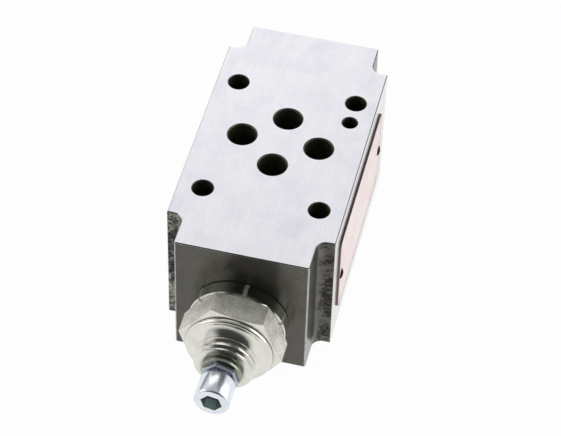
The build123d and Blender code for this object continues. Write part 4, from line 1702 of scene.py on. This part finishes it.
@dataclass(frozen=True)
class Studio:
    """White table, soft light, dark cards and the camera. Places are in metres."""

    lens: float = 148.63
    sensor: float = 36.0
    camera_place: Place = (-0.41683, -0.09219, 0.47795)
    camera_turn: Place = (42.4425, -1.2397, -76.2996)
    target: Place = (-0.01, 0.0, 0.02)
    fill: float = 0.86
    ceiling: Span = (0.6, 0.85)
    ceiling_share: float = 0.52
    table_size: float = 8.0
    table_height: float = -0.0001
    table_glow: float = 0.97
    mirrored_from: Span = (-0.26, -0.13)
    lamps: Sequence[Lamp] = (
        Lamp("back_softbox", (0.88, 0.32, 0.74), 0.75, 0.86),
        Lamp("left_sheet", (-0.2, 1.15, 0.6), 0.9, 0.8),
        Lamp("right_sheet", (0.25, -1.15, 0.4), 1.2, 1.4),
    )
    cards: Sequence[DarkCard] = (
        DarkCard((-1.0, -0.25, 0.42), 38, 58, 0.06),
        DarkCard((0.66, -0.38, 0.64), 9, 20, 0.15),
        DarkCard((0.66, 0.75, 0.0), 12, 26, 0.2),
    )

    def build(self) -> None:
        """Sets up the whole stage."""
        bpy.context.scene.view_settings.view_transform = "Standard"
        for lamp in self.lamps:
            lamp.build(Vector(self.target))
        self.light_world()
        self.lay_table()
        self.set_camera()
        LOG.info("stage: %d lamps, %d cards, lens %.1f mm", len(self.lamps), len(self.cards), self.lens)

    def set_camera(self) -> None:
        """Stands the camera where the photographer's was."""
        turn = [math.radians(angle) for angle in self.camera_turn]
        bpy.ops.object.camera_add(location=self.camera_place, rotation=turn)
        camera = bpy.context.object
        camera.name = "photo_camera"
        camera.data.lens, camera.data.sensor_width = self.lens, self.sensor
        camera.data.clip_start, camera.data.clip_end = 0.01, 20.0
        bpy.context.scene.camera = camera

    def light_world(self) -> None:
        """Lights the surroundings: white to look at, with dark cards in the reflections."""
        world = bpy.data.worlds.new("studio")
        bpy.context.scene.world = world
        sketch = Sketch.blank(world)
        way = sketch.add("TexCoord").outputs["Generated"]
        level = sketch.ramp(sketch.split(way)[2], *self.ceiling, self.fill, self.fill * self.ceiling_share)
        for card in self.cards:
            level = sketch.times(level, card.shade(sketch, way))
        strength = sketch.math("MAXIMUM", sketch.add("LightPath").outputs["Is Camera Ray"], level)
        light = sketch.add("Background", {"Color": WHITE, "Strength": strength})
        sketch.add("OutputWorld", {0: light.outputs[0]})

    def lay_table(self) -> None:
        """Lays the white table, which looks white and keeps a faint shadow."""
        bpy.ops.object.select_all(action="DESELECT")
        bpy.ops.mesh.primitive_plane_add(size=self.table_size, location=(0, 0, self.table_height))
        table = Bench.place("table_top")
        made = bpy.data.materials.new("white_table")
        sketch = Sketch.blank(made)
        matt = sketch.add("BsdfDiffuse", {"Color": (0.92, 0.92, 0.92, 1.0)}).outputs[0]
        glow = sketch.add("Emission", {"Color": WHITE, "Strength": 1.0}).outputs[0]
        path = sketch.add("LightPath").outputs
        fading = sketch.ramp(sketch.split(sketch.place)[0], *self.mirrored_from, 0.1, 0.97)
        mirrored = sketch.times(path["Is Glossy Ray"], fading)
        share = sketch.plus(sketch.times(path["Is Camera Ray"], self.table_glow), mirrored)
        sketch.add("OutputMaterial", {0: sketch.add("MixShader", {0: share, 1: matt, 2: glow}).outputs[0]})
        table.data.materials.append(made)


def main() -> None:
    """Builds the valve and its stage."""
    logging.basicConfig(level=logging.INFO, format="%(message)s")
    Studio().build()
    InnerParts().build()
    PressureSpring().build()
    for part in (ValveBlock(), Cartridge(), SealWasher(), LockNut(), AdjustingScrew(), Nameplate()):
        part.build()


if __name__ == "__main__":
    main()
